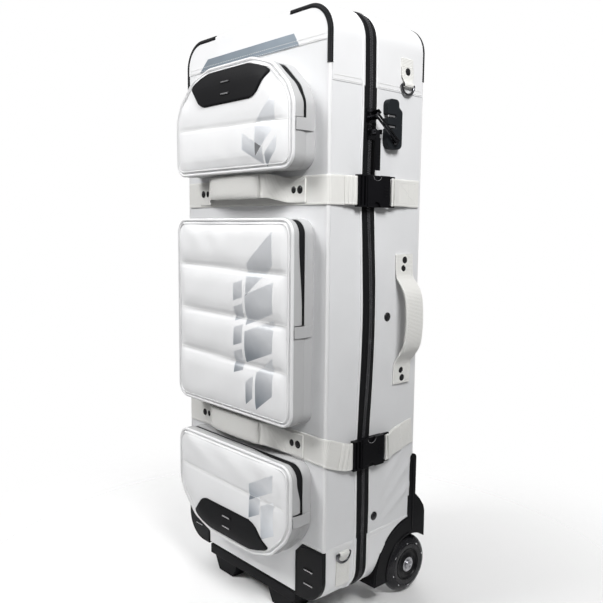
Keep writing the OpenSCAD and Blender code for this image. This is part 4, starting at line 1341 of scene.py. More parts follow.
def skin_of(face):
    """A function that gives the depth of a padded face's front under points x, z."""
    tree = BVHTree.FromPolygons([tuple(v.co) for v in face.data.vertices],
                                [tuple(p.vertices) for p in face.data.polygons])

    def skin(x, z):
        spots = np.stack([x, np.full_like(x, -90.0), z], -1).reshape(-1, 3) * MM + ORIGIN
        hits = [tree.ray_cast(Vector(spot), Vector((0, 1, 0)))[0] for spot in spots]
        return (np.array([hit.y for hit in hits]).reshape(x.shape) - ORIGIN[1]) / MM

    return skin


def swell_face(kind, points, low, high, ring, n):
    """Moves the front of the pad out by the dome and in by the quilting and folds."""
    pocket = look("pocket")
    x, z = points[:n, 0], points[:n, 2]
    wide = np.maximum(ring_half_width(ring, z), 1)
    edge = np.minimum(wide - np.abs(x), np.minimum(z - low, high - z))
    inner = ease(edge, 0, 26)
    dome = (1 - (np.abs(x) / wide) ** 3) * (1 - np.abs(2 * (z - low) / (high - low) - 1) ** 4)
    off = pocket.fill * 0.45 * dome - inner * quilting(kind, x, z)
    off = off + inner * pucker(kind, x, z)
    out = points.copy()
    out[:n, 1] -= off
    return out


def pressed_face(obj, points, rows, columns):
    """Adds the simulated filling. The simulated front points' movement is averaged in square
    cells, spread into empty cells, smoothed and read back at each point of the face."""
    before, moved = press(obj, look("pocket").cap)
    before = (before - ORIGIN) / MM
    front = before[:, 1] < POCKET_FRONT + 3.0
    spot, push = before[front][:, [0, 2]], -moved[front][:, 1] / MM
    n = rows * columns
    low, cell = points[:n, [0, 2]].min(0), 6.0
    size = (np.ceil((points[:n, [0, 2]].max(0) - low) / cell) + 2).astype(int)
    at = np.clip(((spot - low) / cell).round().astype(int), 0, size - 1)
    total, count = np.zeros(size), np.zeros(size)
    np.add.at(total, (at[:, 0], at[:, 1]), push)
    np.add.at(count, (at[:, 0], at[:, 1]), 1.0)
    for _ in range(3):
        total, count = spread(total), spread(count)
    height = total / np.maximum(count, 1e-6)
    where = (points[:n, [0, 2]] - low) / cell
    base = np.minimum(where.astype(int), size - 2)
    part = where - base
    x, z = base.T
    share_x, share_z = part.T
    gain = ((1 - share_x) * (1 - share_z) * height[x, z] + share_x * (1 - share_z) * height[x + 1, z]
            + (1 - share_x) * share_z * height[x, z + 1] + share_x * share_z * height[x + 1, z + 1])
    out = points.copy()
    out[:n, 1] -= np.maximum(gain, 0)
    return out


def spread(cells):
    """Each cell becomes the average of itself and its neighbours."""
    wide = np.pad(cells, 1)
    return (2 * wide[1:-1, 1:-1] + wide[:-2, 1:-1] + wide[2:, 1:-1] + wide[1:-1, :-2]
            + wide[1:-1, 2:]) / 6


def build_face_piping(kind, hinge_z, ring):
    """A fat white cord round the face, and a thin second one inside it."""
    radius = look("pocket").piping_r
    form = Form()
    for inset, size, y in ((-0.6, radius, POCKET_FRONT + 0.4), (4.6, 0.8, POCKET_FRONT - 2.2)):
        path = even(inset_ring(ring, inset), 3.0, True)
        path = np.stack([path[:, 0], np.full(len(path), y), path[:, 1]], -1)
        sweep(form, path, oval(size, size, 12 if size > 1 else 6), (0, -1, 0), True)
    obj = piece("pocket_" + kind + "_piping", form, "lid", [PAINTS["piping"]])
    bend(obj, hinge_z)


def band_grid(ring, y_low, y_high, belly, rows=7):
    """The pocket's side wall over part of its depth: the outline moved out by a sine belly."""
    along = unit(np.gradient(ring, axis=0))
    out = np.stack([along[:, 1], -along[:, 0]], -1)
    v = np.linspace(0, 1, rows)
    y = np.reshape(y_low, (-1, 1)) + np.reshape(np.subtract(y_high, y_low), (-1, 1)) * v
    off = belly * np.sin(np.pi * v)
    grid = ring[:, None] + out[:, None] * off[None, :, None]
    return np.stack([grid[..., 0], np.broadcast_to(y, grid.shape[:2]), grid[..., 1]], -1)


def open_stretch(ring, keep):
    """The points of a closed ring for which keep is true, in order from where they start."""
    start = int(np.argmax(keep & ~np.roll(keep, 1)))
    ring, keep = np.roll(ring, -start, 0), np.roll(keep, -start)
    return ring[keep]


def build_pocket_sides(kind, flap, hinge_z):
    """Side walls: a fixed gusset on the bag, the zipper's two tapes, the flap's own gusset
    above the hinge line, and covers where the zipper ends. The gussets and covers are
    painted darker than the pocket fabric, as painted shade."""
    ring = even(pocket_outline(kind), 3.0, True)
    centre = np.array([0, POCKET_FRONT / 2, ring[:, 1].mean()])
    mid_y = POCKET_FRONT + 18.7
    closed = np.concatenate([ring, ring[:1]])
    fixed = Form()
    cloth(fixed, band_grid(closed, 1.5, mid_y + 2.2, 1.3), 1.4, centre)
    lower = open_stretch(ring, ring[:, 1] < hinge_z - 0.8)
    cloth(fixed, band_grid(lower, mid_y + 2.6, POCKET_FRONT + 0.5, 1.5), 1.4, centre)
    piece("pocket_" + kind + "_tray", fixed, "lid",
          [PAINTS["gusset"], PAINTS["lining"]], ["pocket_tray_" + kind])
    upper = open_stretch(ring, ring[:, 1] > hinge_z + 0.8)
    moving = Form()
    gape = 6.0 * ease(upper[:, 1], hinge_z + 15, ring[:, 1].max() - 20) * ease(upper[:, 0], 20, 90)
    cloth(moving, band_grid(upper, mid_y - 2.3 - gape, POCKET_FRONT + 0.5, 1.6), 1.4, centre)
    piece("pocket_" + kind + "_flap_side", moving, flap,
          [PAINTS["gusset"], PAINTS["lining"]])
    tucked = open_stretch(inset_ring(ring, 1.0), ring[:, 1] > hinge_z + 0.8)
    for name, body, y_low, y_high in (("zip_fixed", "lid", mid_y + 2.6, mid_y + 0.1),
                                      ("zip_moving", flap, mid_y - 0.1, mid_y - 3.2 - gape)):
        tape = Form()
        cloth(tape, band_grid(tucked, y_low, y_high, 0.25, 3), 0.9, centre)
        piece("pocket_" + kind + "_" + name, tape, body, [PAINTS["zipper"]])
    covers = Form()
    for side in (1, -1):
        x = side * (ring_half_width(ring, hinge_z) + 2.6)
        rows = np.linspace(hinge_z - 14, hinge_z + 1.5, 8)
        y = np.linspace(POCKET_FRONT + 2.0, -4.0, 14)
        yy, zz = np.meshgrid(y, rows, indexing="ij")
        belly = 0.9 * np.sin(np.pi * (yy - y[0]) / (y[-1] - y[0]))
        cloth(covers, np.stack([x + side * belly, yy, zz], -1), 1.1, centre)
    piece("pocket_" + kind + "_zip_covers", covers, "lid", [PAINTS["gusset"]])


PANEL_HALF = [(-54, 57), (-51.5, 62), (-47, 69), (-40, 75), (-33, 81), (-27, 88), (-24, 91),
              (-21, 90), (-17, 83), (-12, 68), (-8, 52), (-6, 42)]


def build_panel(name, node, body, face, tip, up):
    """A moulded panel sewn into a pocket's curved end: a plate draped over the padded face,
    with a rim, and two slots with bright inserts. up is 1 where the curved end is the top."""
    skin = skin_of(face)
    heights, widths = np.array(PANEL_HALF, float).T
    rows = np.linspace(-54, -6, 41)
    wide = np.interp(rows, heights, widths)
    wide = wide - 5 * np.clip(1 - (rows + 54) / 4, 0, 1) ** 2
    share = np.linspace(-1, 1, 61)
    x = wide[:, None] * share
    z = np.repeat((tip + up * rows)[:, None], 61, 1)
    edge = np.minimum(wide[:, None] * (1 - np.abs(share)), np.minimum(rows + 54, -6 - rows)[:, None])
    rise = 0.6 + 1.5 * np.sqrt(1 - (1 - np.clip(edge / 3.0, 0, 1)) ** 2)
    y = skin(x, z)
    form = Form()
    cloth(form, np.stack([x, y - rise, z], -1), 3.2, BAG_MIDDLE)
    for row in (-25.0, -41.0):
        for half, thick, out, finish in ((11.0, 2.2, 1.9, 0), (8.5, 1.0, 3.1, 1)):
            line = even([(-half, 0, tip + up * row), (half, 0, tip + up * row)], 2.0)
            line[:, 1] = skin(line[:, 0], line[:, 2]) - out
            sweep(form, line, oval(thick, 0.8, 10), (0, -1, 0), finish=finish)
    piece(name, form, body, [PAINTS["rubber"], PAINTS["bright"]], [node])


# ---------- straps, grips and side fittings ----------

GRIP_RISE = -room("front_grips")[0][1]
GRIP_UP = 7.0
HANDLE_LOW, HANDLE_HIGH = room("side_handle")


def strap_path(z, sag):
    """Route of a strap over the front and round the side to the buckle: a little proud of the
    front, close round the edge piping, then out and down by its sag to the buckle's plug."""
    edge = HALF_W + 1.2
    points = [(-HALF_W + 6, -1.3, z)]
    points += [(x, -1.5, z) for x in np.linspace(-HALF_W + 20, HALF_W - 16, 12)]
    points += [(HALF_W - 3, -1.3, z), (edge + 0.4, 1.5, z - sag * 0.05),
               (edge + 1.2, 8, z - sag * 0.25), (edge + 2.6, 24, z - sag * 0.75),
               (edge + 5.0, 36, z - sag), (edge + 7.0, MOUTH_Y - 11, z - sag)]
    return smooth_path(points, 2.0, 3)


def path_out(path):
    """Outward directions along a strap's route, square to it and level."""
    along = unit(np.gradient(path, axis=0))
    return unit(np.cross(along, [0, 0, 1.0]))


BOX_FRONT, BOX_BACK = 128.0, 168.0


def build_straps():
    """Two webbing straps: over the front and round to the buckles, and from the buckles to
    the back edge, where each is folded over its buckle's bar and box stitched."""
    thick = look("trim").webbing_t
    band = oval(WEBBING_W / 2, thick / 2, 28, 6.0)
    front, rear, sewn, boxes = Form(), Form(), Form(), Form()
    for z, buckle_z in zip(STRAP_ZS, BUCKLE_ZS):
        sag = z - buckle_z
        path = strap_path(z, sag)
        sweep(front, path, band, path_out(path))
        fold = 3.2 * np.abs(np.sin(np.linspace(0, 3 * np.pi, 60)))
        at_y = np.linspace(24, MOUTH_Y - 15, 60)
        humps = np.stack([HALF_W + 4.6 + 0.12 * (at_y - 24) + 0.45 * fold, at_y,
                          z - sag * np.interp(at_y, (24, 36), (0.75, 1.0))], -1)
        sweep(front, humps, oval(WEBBING_W / 2 - 0.6, thick * 0.55, 28, 6.0), (1, 0, 0))
        for x in (-1, 1):
            edge = np.stack([np.full(20, x * 123.0), np.full(20, -3.0),
                             np.linspace(z - WEBBING_W / 2 + 2, z + WEBBING_W / 2 - 2, 20)], -1)
            stitches(sewn, edge, (0, -1, 0), 3.0, 2.0, 0.35)
        side = HALF_W + 1.0
        points = [(side + 8.0, SOCKET_BACK - 8.0, z - sag),
                  (side + 7.8, SOCKET_BACK - 4.0, z - sag),
                  (side + 5.2, SOCKET_BACK + 3, z - sag * 0.9),
                  (side + 2.6, SOCKET_BACK + 12, z - sag * 0.75),
                  (side + 1.6, SOCKET_BACK + 26, z - sag * 0.5),
                  (side + 1.3, 160, z - sag * 0.2), (side + 0.6, 176, z)]
        rear_path = smooth_path(points, 2.0, 3)
        rear_path[:, 0] += swell(rear_path[:, 1], z) * 0.8
        sweep(rear, rear_path, band, path_out(rear_path))
        second = rear_path[rear_path[:, 1] < 150] + [thick + 0.4, 0, 0]
        sweep(rear, second[2:], oval(WEBBING_W / 2 - 0.8, thick / 2, 28, 6.0),
              path_out(second[2:]))
        half = WEBBING_W / 2 - 5
        loop = [(0, BOX_FRONT, z - half), (0, BOX_BACK, z - half), (0, BOX_BACK, z + half),
                (0, BOX_FRONT, z + half)]
        for first, last in [(0, 1), (1, 2), (2, 3), (3, 0), (0, 2), (1, 3)]:
            line = even([loop[first], loop[last]], 2.0)
            line[:, 2] += np.interp(line[:, 1], rear_path[:, 1], rear_path[:, 2]) - z
            line[:, 0] = np.interp(line[:, 1], rear_path[:, 1], rear_path[:, 0]) + thick / 2
            line[:, 0] += np.where(line[:, 1] < 150, thick + 0.5, 0.1)
            stitches(boxes, line, (1, 0, 0), 3.0, 2.0, 0.36)
    piece("front_webbing", front, "lid", [PAINTS["webbing"]], ["front_straps"])
    piece("front_strap_stitches", sewn, "lid", [PAINTS["thread"]])
    piece("back_webbing", rear, "base", [PAINTS["webbing"]], ["back_straps"])
    piece("box_stitches", boxes, "base", [PAINTS["thread"]])


def build_grips():
    """Two padded front grips: a flat patch at each end, a bend out, and a fat sleeve."""
    reach = GRIP_RISE - 8
    form, padded = Form(), Form()
    for z in STRAP_ZS:
        level = z + GRIP_UP
        points = [(-123, -3.6, z), (-98, -3.8, z), (-92, -6, z), (-84, -reach * 0.5, level - 3),
                  (-72, -reach * 0.95, level), (-55, -reach - 2.5, level), (0, -reach - 4, level),
                  (52, -reach - 2.5, level), (66, -reach * 0.9, level), (80, -reach * 0.45, level - 4),
                  (92, -6, z), (98, -3.8, z), (123, -3.6, z)]
        path = smooth_path(points, 2.0, 3)
        sweep(form, path, oval(16.0, 1.1, 28, 6.0), path_out(path))
        core = path[(path[:, 0] > -68) & (path[:, 0] < 58) & (path[:, 1] < -reach * 0.8)]
        t = np.linspace(-1, 1, len(core))
        full = np.clip(1 - np.abs(t) ** 9, 0.22, 1)
        shape = oval(1, 1, 36, 2.7)[None] * np.stack([15.8 + 1.2 * full, 5.2 * full], -1)[:, None]
        wrinkle = 1 + 0.012 * np.sin(core[:, 0] / 2.9) + 0.01 * np.sin(core[:, 0] / 7.1 + 1)
        sweep(padded, core, shape * wrinkle[:, None, None], path_out(core))
        turn = np.linspace(0, 2 * np.pi, 28, False)
        hem = np.stack([0 * turn, 4.2 * np.sin(turn), 16.0 * np.cos(turn)], -1)
        for end in (2, -3):
            sweep(padded, even(core[end] + hem, 1.5, True), oval(0.45, 0.45, 6), (1, 0, 0), True)
    piece("front_grip_straps", form, "lid", [PAINTS["webbing"]], ["front_grips"])
    sleeve = piece("grip_sleeves", padded, "lid", [PAINTS["sleeve"]])


def build_side_handle():
    """Webbing grab handle on the side: two sewn patches and a stitched bow between them."""
    y = (HANDLE_LOW[1] + HANDLE_HIGH[1]) / 2
    low, high = HANDLE_LOW[2], HANDLE_HIGH[2]
    wide = (HANDLE_HIGH[1] - HANDLE_LOW[1]) / 2
    side = HALF_W + 1.4
    rise = HANDLE_HIGH[0] - HALF_W - 3.2
    points = [(side + 0.6, y, low), (side + 1.0, y, low + 20), (side + 2, y, low + 33),
              (side + rise * 0.45, y, low + 42), (side + rise * 0.88, y, low + 56),
              (side + rise, y, low + 80), (side + rise, y, high - 80),
              (side + rise * 0.88, y, high - 56), (side + rise * 0.45, y, high - 42),
              (side + 2, y, high - 33), (side + 1.0, y, high - 20), (side + 0.6, y, high)]
    path = smooth_path(points, 2.0, 3)
    near = 1 - np.clip((path[:, 0] - side) / rise, 0, 1)
    path[:, 0] += swell(path[:, 1], path[:, 2]) * near
    out = unit(np.cross(np.gradient(path, axis=0), [0, -1.0, 0]))
    form = Form()
    sweep(form, path, oval(wide, 1.3, 28, 6.0), out)
    grip = path[(path[:, 2] > low + 44) & (path[:, 2] < high - 44)]
    sweep(form, grip - [2.4, 0, 0], oval(wide - 1.5, 2.0, 28, 4.0), (1, 0, 0))
    sewn = Form()
    for edge in (-1, 1):
        stitches(sewn, grip + [1.25, edge * (wide - 3.5), 0], (1, 0, 0), 3.4, 2.3, 0.36)
    y0, y1 = y - wide + 4, y + wide - 4
    for z0, z1 in ((low + 3, low + 31), (high - 31, high - 3)):
        for first, last in (((y0, z0), (y1, z0)), ((y0, z1), (y1, z1)), ((y0, z0), (y1, z1)),
                            ((y0, z1), (y1, z0)), ((y0, z0), (y0, z1)), ((y1, z0), (y1, z1))):
            line = even([(0, *first), (0, *last)], 2.0)
            line[:, 0] = np.interp(line[:, 2], path[:, 2], path[:, 0]) + 1.35
            stitches(sewn, line, (1, 0, 0), 3.0, 2.0, 0.36)
    piece("side_handle_webbing", form, "base", [PAINTS["webbing"]], ["side_handle"])
    piece("side_handle_stitches", sewn, "base", [PAINTS["thread"]])


RIVET_PROFILE = [(0.05, -0.6), (6.3, -0.6), (6.4, 0.2), (6.1, 0.8), (5.0, 1.5), (3.2, 2.0),
                 (1.4, 2.25), (0.05, 2.3)]


def rivet_spots(node):
    """The middles of the separate solids of a node, from its loose parts, sorted so that
    every run gives them in the same order."""
    shape = bmesh.new()
    shape.from_mesh(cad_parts[node].data)
    bmesh.ops.remove_doubles(shape, verts=shape.verts, dist=0.00001)
    left, spots = set(shape.verts), []
    while left:
        group, queue = [], [left.pop()]
        while queue:
            vert = queue.pop()
            group.append(tuple(vert.co))
            for edge in vert.link_edges:
                other = edge.other_vert(vert)
                if other in left:
                    left.discard(other)
                    queue.append(other)
        corners = np.array(group)
        spots.append(((corners.min(0) + corners.max(0)) / 2 - ORIGIN) / MM)
    shape.free()
    return sorted(tuple(spot) for spot in spots)


def build_rivets():
    """Black domed rivets with a thin washer edge, on the front straps and on the side."""
    front = Form()
    for x, y, z in rivet_spots("lid_rivets"):
        lathe(front, np.array([x, -3.6, z]), (0, -1, 0), RIVET_PROFILE, 32)
    piece("front_rivets", front, "lid", [PAINTS["rivet"]], ["lid_rivets"])
    side = Form()
    for x, y, z in rivet_spots("base_rivets"):
        base = HALF_W + swell(y, z) + (x - HALF_W - 1.2)
        lathe(side, np.array([base, y, z]), (1, 0, 0), RIVET_PROFILE, 32)
    piece("side_rivets", side, "base", [PAINTS["rivet"]], ["base_rivets"])


def build_rings():
    """D-rings on webbing tabs: the tab lies on the side, folds round the ring's straight
    bar and is stitched; the ring itself is the turned CAD part."""
    for kind, body, up in (("upper", "base", 1), ("lower", "lid", -1)):
        low, high = room("ring_tab_" + kind)
        y, wide = (low[1] + high[1]) / 2, (high[1] - low[1]) / 2 - 0.8
        bar_z = (low[2] if up > 0 else high[2]) + up * 3.7
        far = high[2] if up > 0 else low[2]
        bar_x = HALF_W + 3.9
        puff = swell(y, bar_z)
        points = [(HALF_W + 1.2, far), (HALF_W + 1.2, (far + bar_z) / 2),
                  (HALF_W + 1.0, bar_z + up * 7), (HALF_W + 0.7, bar_z + up * 1),
                  (bar_x - 1.5, bar_z - up * 3.3), (bar_x + 1.6, bar_z - up * 2.6),
                  (bar_x + 2.7, bar_z + up * 0.6), (bar_x + 0.1, bar_z + up * 4.6),
                  (HALF_W + 2.6, bar_z + up * 9), (HALF_W + 2.5, far - up * 12)]
        path = smooth_path([(x + puff * 0.4, y, z) for x, z in points], 0.8, 3)
        tab = Form()
        near = np.exp(-((path[:, 2] - bar_z) / 9.0) ** 4)
        taper = wide - (wide - 8.8) * near
        ring = oval(1, 1, 24, 5.0)[None] * np.stack([taper, np.full(len(path), 0.7)], -1)[:, None]
        out = unit(np.cross(np.gradient(path, axis=0), [0, 1.0, 0]))
        sweep(tab, path, ring, out)
        piece("ring_tab_" + kind + "_webbing", tab, body, [PAINTS["webbing"]],
              ["ring_tab_" + kind])
        sewn = Form()
        for edge in (-1, 1):
            z = np.linspace(bar_z + up * 12, far - up * 13, 12)
            line = np.stack([np.full(12, HALF_W + 3.35 + puff * 0.4),
                             np.full(12, y + edge * wide * 0.7), z], -1)
            stitches(sewn, line, (1, 0, 0), 3.0, 2.0, 0.34)
        piece("ring_tab_" + kind + "_stitches", sewn, body, [PAINTS["thread"]])
    repaint(PAINTS["dark_chrome"], "ring_upper", "ring_lower")


# ---------- moulded parts ----------

def build_buckles():
    """Side-release buckles: the socket with a silver-edged thumb notch and grip ledges, the
    plug with its cross bars; the spring arms stay as they are."""
    refined("buckle_sockets", PAINTS["acetal"], "base", 1.3)
    refined("buckle_plugs", PAINTS["acetal"], "lid", 0.8)
    trim = Form()
    for z in BUCKLE_ZS:
        mid_y = MOUTH_Y + 18
        turn = np.linspace(0.16, np.pi - 0.16, 30)
        arc = np.stack([np.full(30, BUCKLE_X + 0.15), mid_y + 8.2 * np.cos(turn),
                        z + 21.0 - 7.0 * np.sin(turn)], -1)
        sweep(trim, arc, oval(0.28, 0.28, 8), (1, 0, 0), finish=1)
        for side in (1, -1):
            ledge = [(BUCKLE_X - 1.6, MOUTH_Y + 1.5, z + side * 17.5),
                     (BUCKLE_X - 0.2, MOUTH_Y + 4, z + side * 15.5),
                     (BUCKLE_X - 0.2, MOUTH_Y + 8, z + side * 15.0)]
            sweep(trim, smooth_path(ledge, 0.8), oval(1.0, 0.8, 8), (1, 0, 0))
        for off in (-6.0, -2.0, 2.0, 6.0):
            rib = even([(BUCKLE_X + 0.1, MOUTH_Y + 31, z + off),
                        (BUCKLE_X + 0.1, MOUTH_Y + 39, z + off)], 1.5)
            sweep(trim, rib, oval(0.7, 0.5, 8), (1, 0, 0))
    piece("buckle_trim", trim, "base", [PAINTS["acetal"], PAINTS["bright"]])
    repaint(PAINTS["acetal"], "buckle_arm_1", "buckle_arm_2", "buckle_arm_3", "buckle_arm_4")


def build_guards():
    """Corner guards with bright metal bars along their slots as painted highlights, and the bottom
    rail with its two feet.
    """
    refined("corner_guards", PAINTS["satin"], "lid", 1.1)
    refined("bottom_rail", PAINTS["rubber"], "lid", 1.4)
    low = room("corner_guards")[0]
    form = Form()
    for side in (1, -1):
        centre = side * (HALF_W - 28)
        for rise in (24.0, 44.0):
            z = SHELL_LOW + rise
            line = even([(centre - 9, low[1] - 0.3, z + 0.6),
                         (centre + 9, low[1] - 0.3, z + 0.6)], 1.5)
            # Bright metal bars along the slots: painted highlights.
            sweep(form, line, oval(0.9, 0.8, 8), (0, -1, 0), finish=1)
        rim = [(side * (HALF_W - 54.3), low[1] - 0.2, SHELL_LOW + 4),
               (side * (HALF_W - 54.3), low[1] - 0.2, SHELL_LOW + 63.3),
               (side * (HALF_W - 41.2), low[1] - 0.2, SHELL_LOW + 76.5),
               (side * (HALF_W - 4), low[1] - 0.2, SHELL_LOW + 76.5)]
        sweep(form, smooth_path(rim, 1.5, 2), oval(0.8, 0.6, 8), (0, -1, 0))
    piece("guard_trim", form, "lid", [PAINTS["satin"], PAINTS["bright"]])


def build_housings():
    """Wheel housings with a raised bead along the arch and down the corner rail."""
    refined("wheel_housings", PAINTS["satin"], "base", 1.2)
    form = Form()
    centre_y, centre_z = WHEEL_RIGHT[1], WHEEL_RIGHT[2]
    for radius, thick in ((ARCH_R - 3.0, 1.1), (54.0, 1.3)):
        turn = np.linspace(np.radians(94), np.radians(187 if radius > 60 else 205), 60)
        arc = np.stack([np.full(60, HOUSING_HIGH[0] + 0.2), centre_y + radius * np.cos(turn),
                        centre_z + radius * np.sin(turn)], -1)
        keep = arc[:, 2] > HOUSING_LOW[2] + 2
        sweep(form, arc[keep], oval(thick, thick, 10), (1, 0, 0))
    rail = even([(HOUSING_HIGH[0] + 0.2, BODY_D - 1, centre_z + 58),
                 (HOUSING_HIGH[0] + 0.2, BODY_D - 1, HOUSING_HIGH[2] - 8)], 3.0)
    sweep(form, rail, oval(1.6, 0.9, 10), (1, 0, 0))
    form.mirror_x()
    piece("housing_beads", form, "base", [PAINTS["satin"]])


def both_faces(half):
    """A wheel's profile from its half on one face: the other face's points follow in
    reverse, and a point on the middle plane is not repeated."""
    return half + [(radius, -height) for radius, height in half[::-1] if height]


HUB_PROFILE = both_faces([(9.2, -3.6), (11.1, -3.8), (11.2, -10.6), (13.0, -10.9), (14.4, -9.4),
                          (18.0, -8.2), (21.6, -8.6), (22.8, -10.7), (24.6, -10.9)])
WHEEL_PROFILE = both_faces([(24.8, -10.6), (26.5, -11.0), (31.0, -10.9), (31.6, -10.3),
                            (32.2, -10.8), (35.0, -10.3), (38.6, -8.6), (41.6, -5.9),
                            (43.4, -2.8), (44.0, 0.0)])
BOLT_PROFILE = [(0.05, 0.0), (5.6, 0.0), (6.2, 0.6), (6.2, 1.6), (5.4, 2.2), (3.6, 2.3),
                (3.2, 1.2), (0.05, 1.2)]


def build_wheels():
    """Cast tyres with a moulded ring on the wall, bright metal flecks on their faces as painted
    glints, spoked hubs, bearing shields and bolts.
    """
    for name, sign in (("right", 1), ("left", -1)):
        centre = WHEEL_RIGHT * [sign, 1, 1]
        body = "wheel_" + name
        tyre = Form()
        lathe(tyre, centre, (1, 0, 0), WHEEL_PROFILE, 96, True)
        piece("tyre_" + name + "_cast", tyre, body, [PAINTS["tyre"]], ["tyre_" + name])
        hub = Form()
        lathe(hub, centre, (1, 0, 0), HUB_PROFILE, 96, True)
        piece("hub_" + name + "_dish", hub, body, [PAINTS["hub"]], ["hub_" + name])
        rings = Form()
        for face in (1, -1):
            at = centre + [face * 11.0, 0, 0]
            lathe(rings, at, (face, 0, 0), oval(0.7, 0.5, 10) + [23.9, 0.0], 64, True)
            lathe(rings, at, (face, 0, 0), oval(0.5, 0.4, 8) + [12.0, 0.1], 48, True)
        piece("hub_" + name + "_rims", rings, body, [PAINTS["hub"]])
        # Bright metal flecks on the tyre's face: painted glints.
        glint_flecks = Form()
        for i, angle in enumerate(np.radians([12, 58, 95, 141, 188, 231, 276, 322])):
            turn = angle + 0.11 * np.sin(5.0 * i)
            start = centre + [sign * 10.75, 33.6 * np.cos(turn), 33.6 * np.sin(turn)]
            end = centre + [sign * 10.6, 33.9 * np.cos(turn + 0.09), 33.9 * np.sin(turn + 0.09)]
            sweep(glint_flecks, even([start, end], 0.8), oval(0.8, 0.35, 8), (sign, 0, 0))
        piece("tyre_" + name + "_marks", glint_flecks, body, [PAINTS["bright"]])
    bolts = Form()
    for sign in (1, -1):
        head = np.array([sign * (WHEEL_RIGHT[0] + 12.6), WHEEL_RIGHT[1], WHEEL_RIGHT[2]])
        lathe(bolts, head, (sign, 0, 0), BOLT_PROFILE, 6)
    piece("axle_bolts", bolts, "base", [PAINTS["steel"]])
    repaint(PAINTS["steel"], "wheel_axles", "bearings_right", "bearings_left")


LOCK_SLOTS = 10.0, -4.0


def stepped_outline():
    """The lock's outline seen from the side: rounded, with a step in its upper back corner
    and two slots open to the front."""
    low, high = room("lock_case")
    y0, y1, z0, z1 = low[1], high[1], low[2], high[2]
    mid_z = (z0 + z1) / 2
    corners = [(y1, z0), (y1, z1 - 15), (y1 - 7, z1 - 10), (y1 - 7, z1), (y0, z1)]
    radii = [8, 4, 3, 6, 9]
    for slot_z in LOCK_SLOTS:
        z = mid_z + slot_z
        corners += [(y0, z + 2.4), (y0 + 17, z + 2.4), (y0 + 17, z - 2.4), (y0, z - 2.4)]
        radii += [1.5, 2.3, 2.3, 1.5]
    return round_corners(corners + [(y0, z0)], radii + [9], 0.8)


def build_lock():
    """Key lock: a bevelled case with two slots for the sliders' hooks, bright metal bars in the slots
    as painted glints, a rim and a key disc.
    """
    low, high = room("lock_case")
    form = Form()
    outline = stepped_outline()
    out_x, plug = high[0], room("lock_cylinder")
    key_y, key_z = (plug[0][1] + plug[1][1]) / 2, (plug[0][2] + plug[1][2]) / 2

    def at(a, b, height):
        return np.stack([height, a, b], -1)

    slab(form, outline, at, HALF_W + 0.4, out_x - 0.6)
    piece("lock_case_body", form, "base", [PAINTS["lock"]], ["lock_case"], bevel=1.5)
    trims = Form()
    lathe(trims, np.array([out_x - 0.5, key_y, key_z]), (1, 0, 0),
          oval(0.9, 0.8, 10) + [7.0, 0.0], 48, True)
    for slot_z in LOCK_SLOTS:
        z = (low[2] + high[2]) / 2 + slot_z
        line = even([(out_x - 1.8, low[1] + 2, z), (out_x - 1.8, low[1] + 15, z)], 1.5)
        # Bright metal bars in the slots: painted glints.
        sweep(trims, line, oval(1.3, 0.8, 10, 3.0), (1, 0, 0), finish=1)
    piece("lock_trims", trims, "base", [PAINTS["lock"], PAINTS["bright"]])
    repaint(PAINTS["dark_chrome"], "lock_cylinder")


def build_pull_handle():
    """Telescopic handle in the back of the top: bezel, tubes, grip with finger ribs, button."""
    refined("handle_bezel", PAINTS["plastic"], "base", 1.0)
    refined("handle_grip", PAINTS["rubber"], "pull_handle", 2.2)
    refined("handle_button", PAINTS["button"], "pull_button", 0.8)
    low, high = room("handle_grip")
    form = Form()
    for x in list(np.arange(-44, -17, 4.5)) + list(np.arange(19.5, 46, 4.5)):
        rib = even([(x, low[1] + 2.2, high[2] + 0.1), (x, high[1] - 2.2, high[2] + 0.1)], 1.5)
        sweep(form, rib, oval(0.9, 0.5, 8), (0, 0, 1))
    piece("handle_grip_ribs", form, "pull_handle", [PAINTS["rubber"]])
    repaint(PAINTS["tube"], "handle_outer_tubes", "handle_inner_tubes")
    repaint(PAINTS["board"], "back_board")


def build_sliders():
    """Zipper sliders and their pulls: a bar pull that lies over the lock and a rubber tail."""
    refined("zipper_slider_upper", PAINTS["gunmetal"], "upper_slider", 0.7)
    refined("zipper_slider_lower", PAINTS["gunmetal"], "lower_slider", 0.7)
    refined("zipper_pull_upper", PAINTS["gunmetal"], "upper_pull", 0.5)
    refined("zipper_pull_lower", PAINTS["rubber"], "lower_pull", 1.2)
    low, high = room("zipper_pull_lower")
    form = Form()
    x, y = (low[0] + high[0]) / 2, (low[1] + high[1]) / 2
    for z in np.arange(low[2] + 5, low[2] + 32, 4.0):
        rib = even([(x + 1.75, y - 3, z), (x + 1.75, y + 3, z)], 1.0)
        sweep(form, rib, oval(0.7, 0.35, 8), (1, 0, 0))
    piece("tail_ribs", form, "lower_pull", [PAINTS["rubber"]])


# ---------- stage ----------

CAMERA_AT = np.array([820.75, -630.15, 555.74])
CAMERA_YAW, CAMERA_PITCH, CAMERA_ROLL = 48.49, 6.71, 0.51
CAMERA_SHIFT = 0.0037, 0.0152
FLOOR_R = 2.4
FLOOR_FADE = 430.0, 330.0


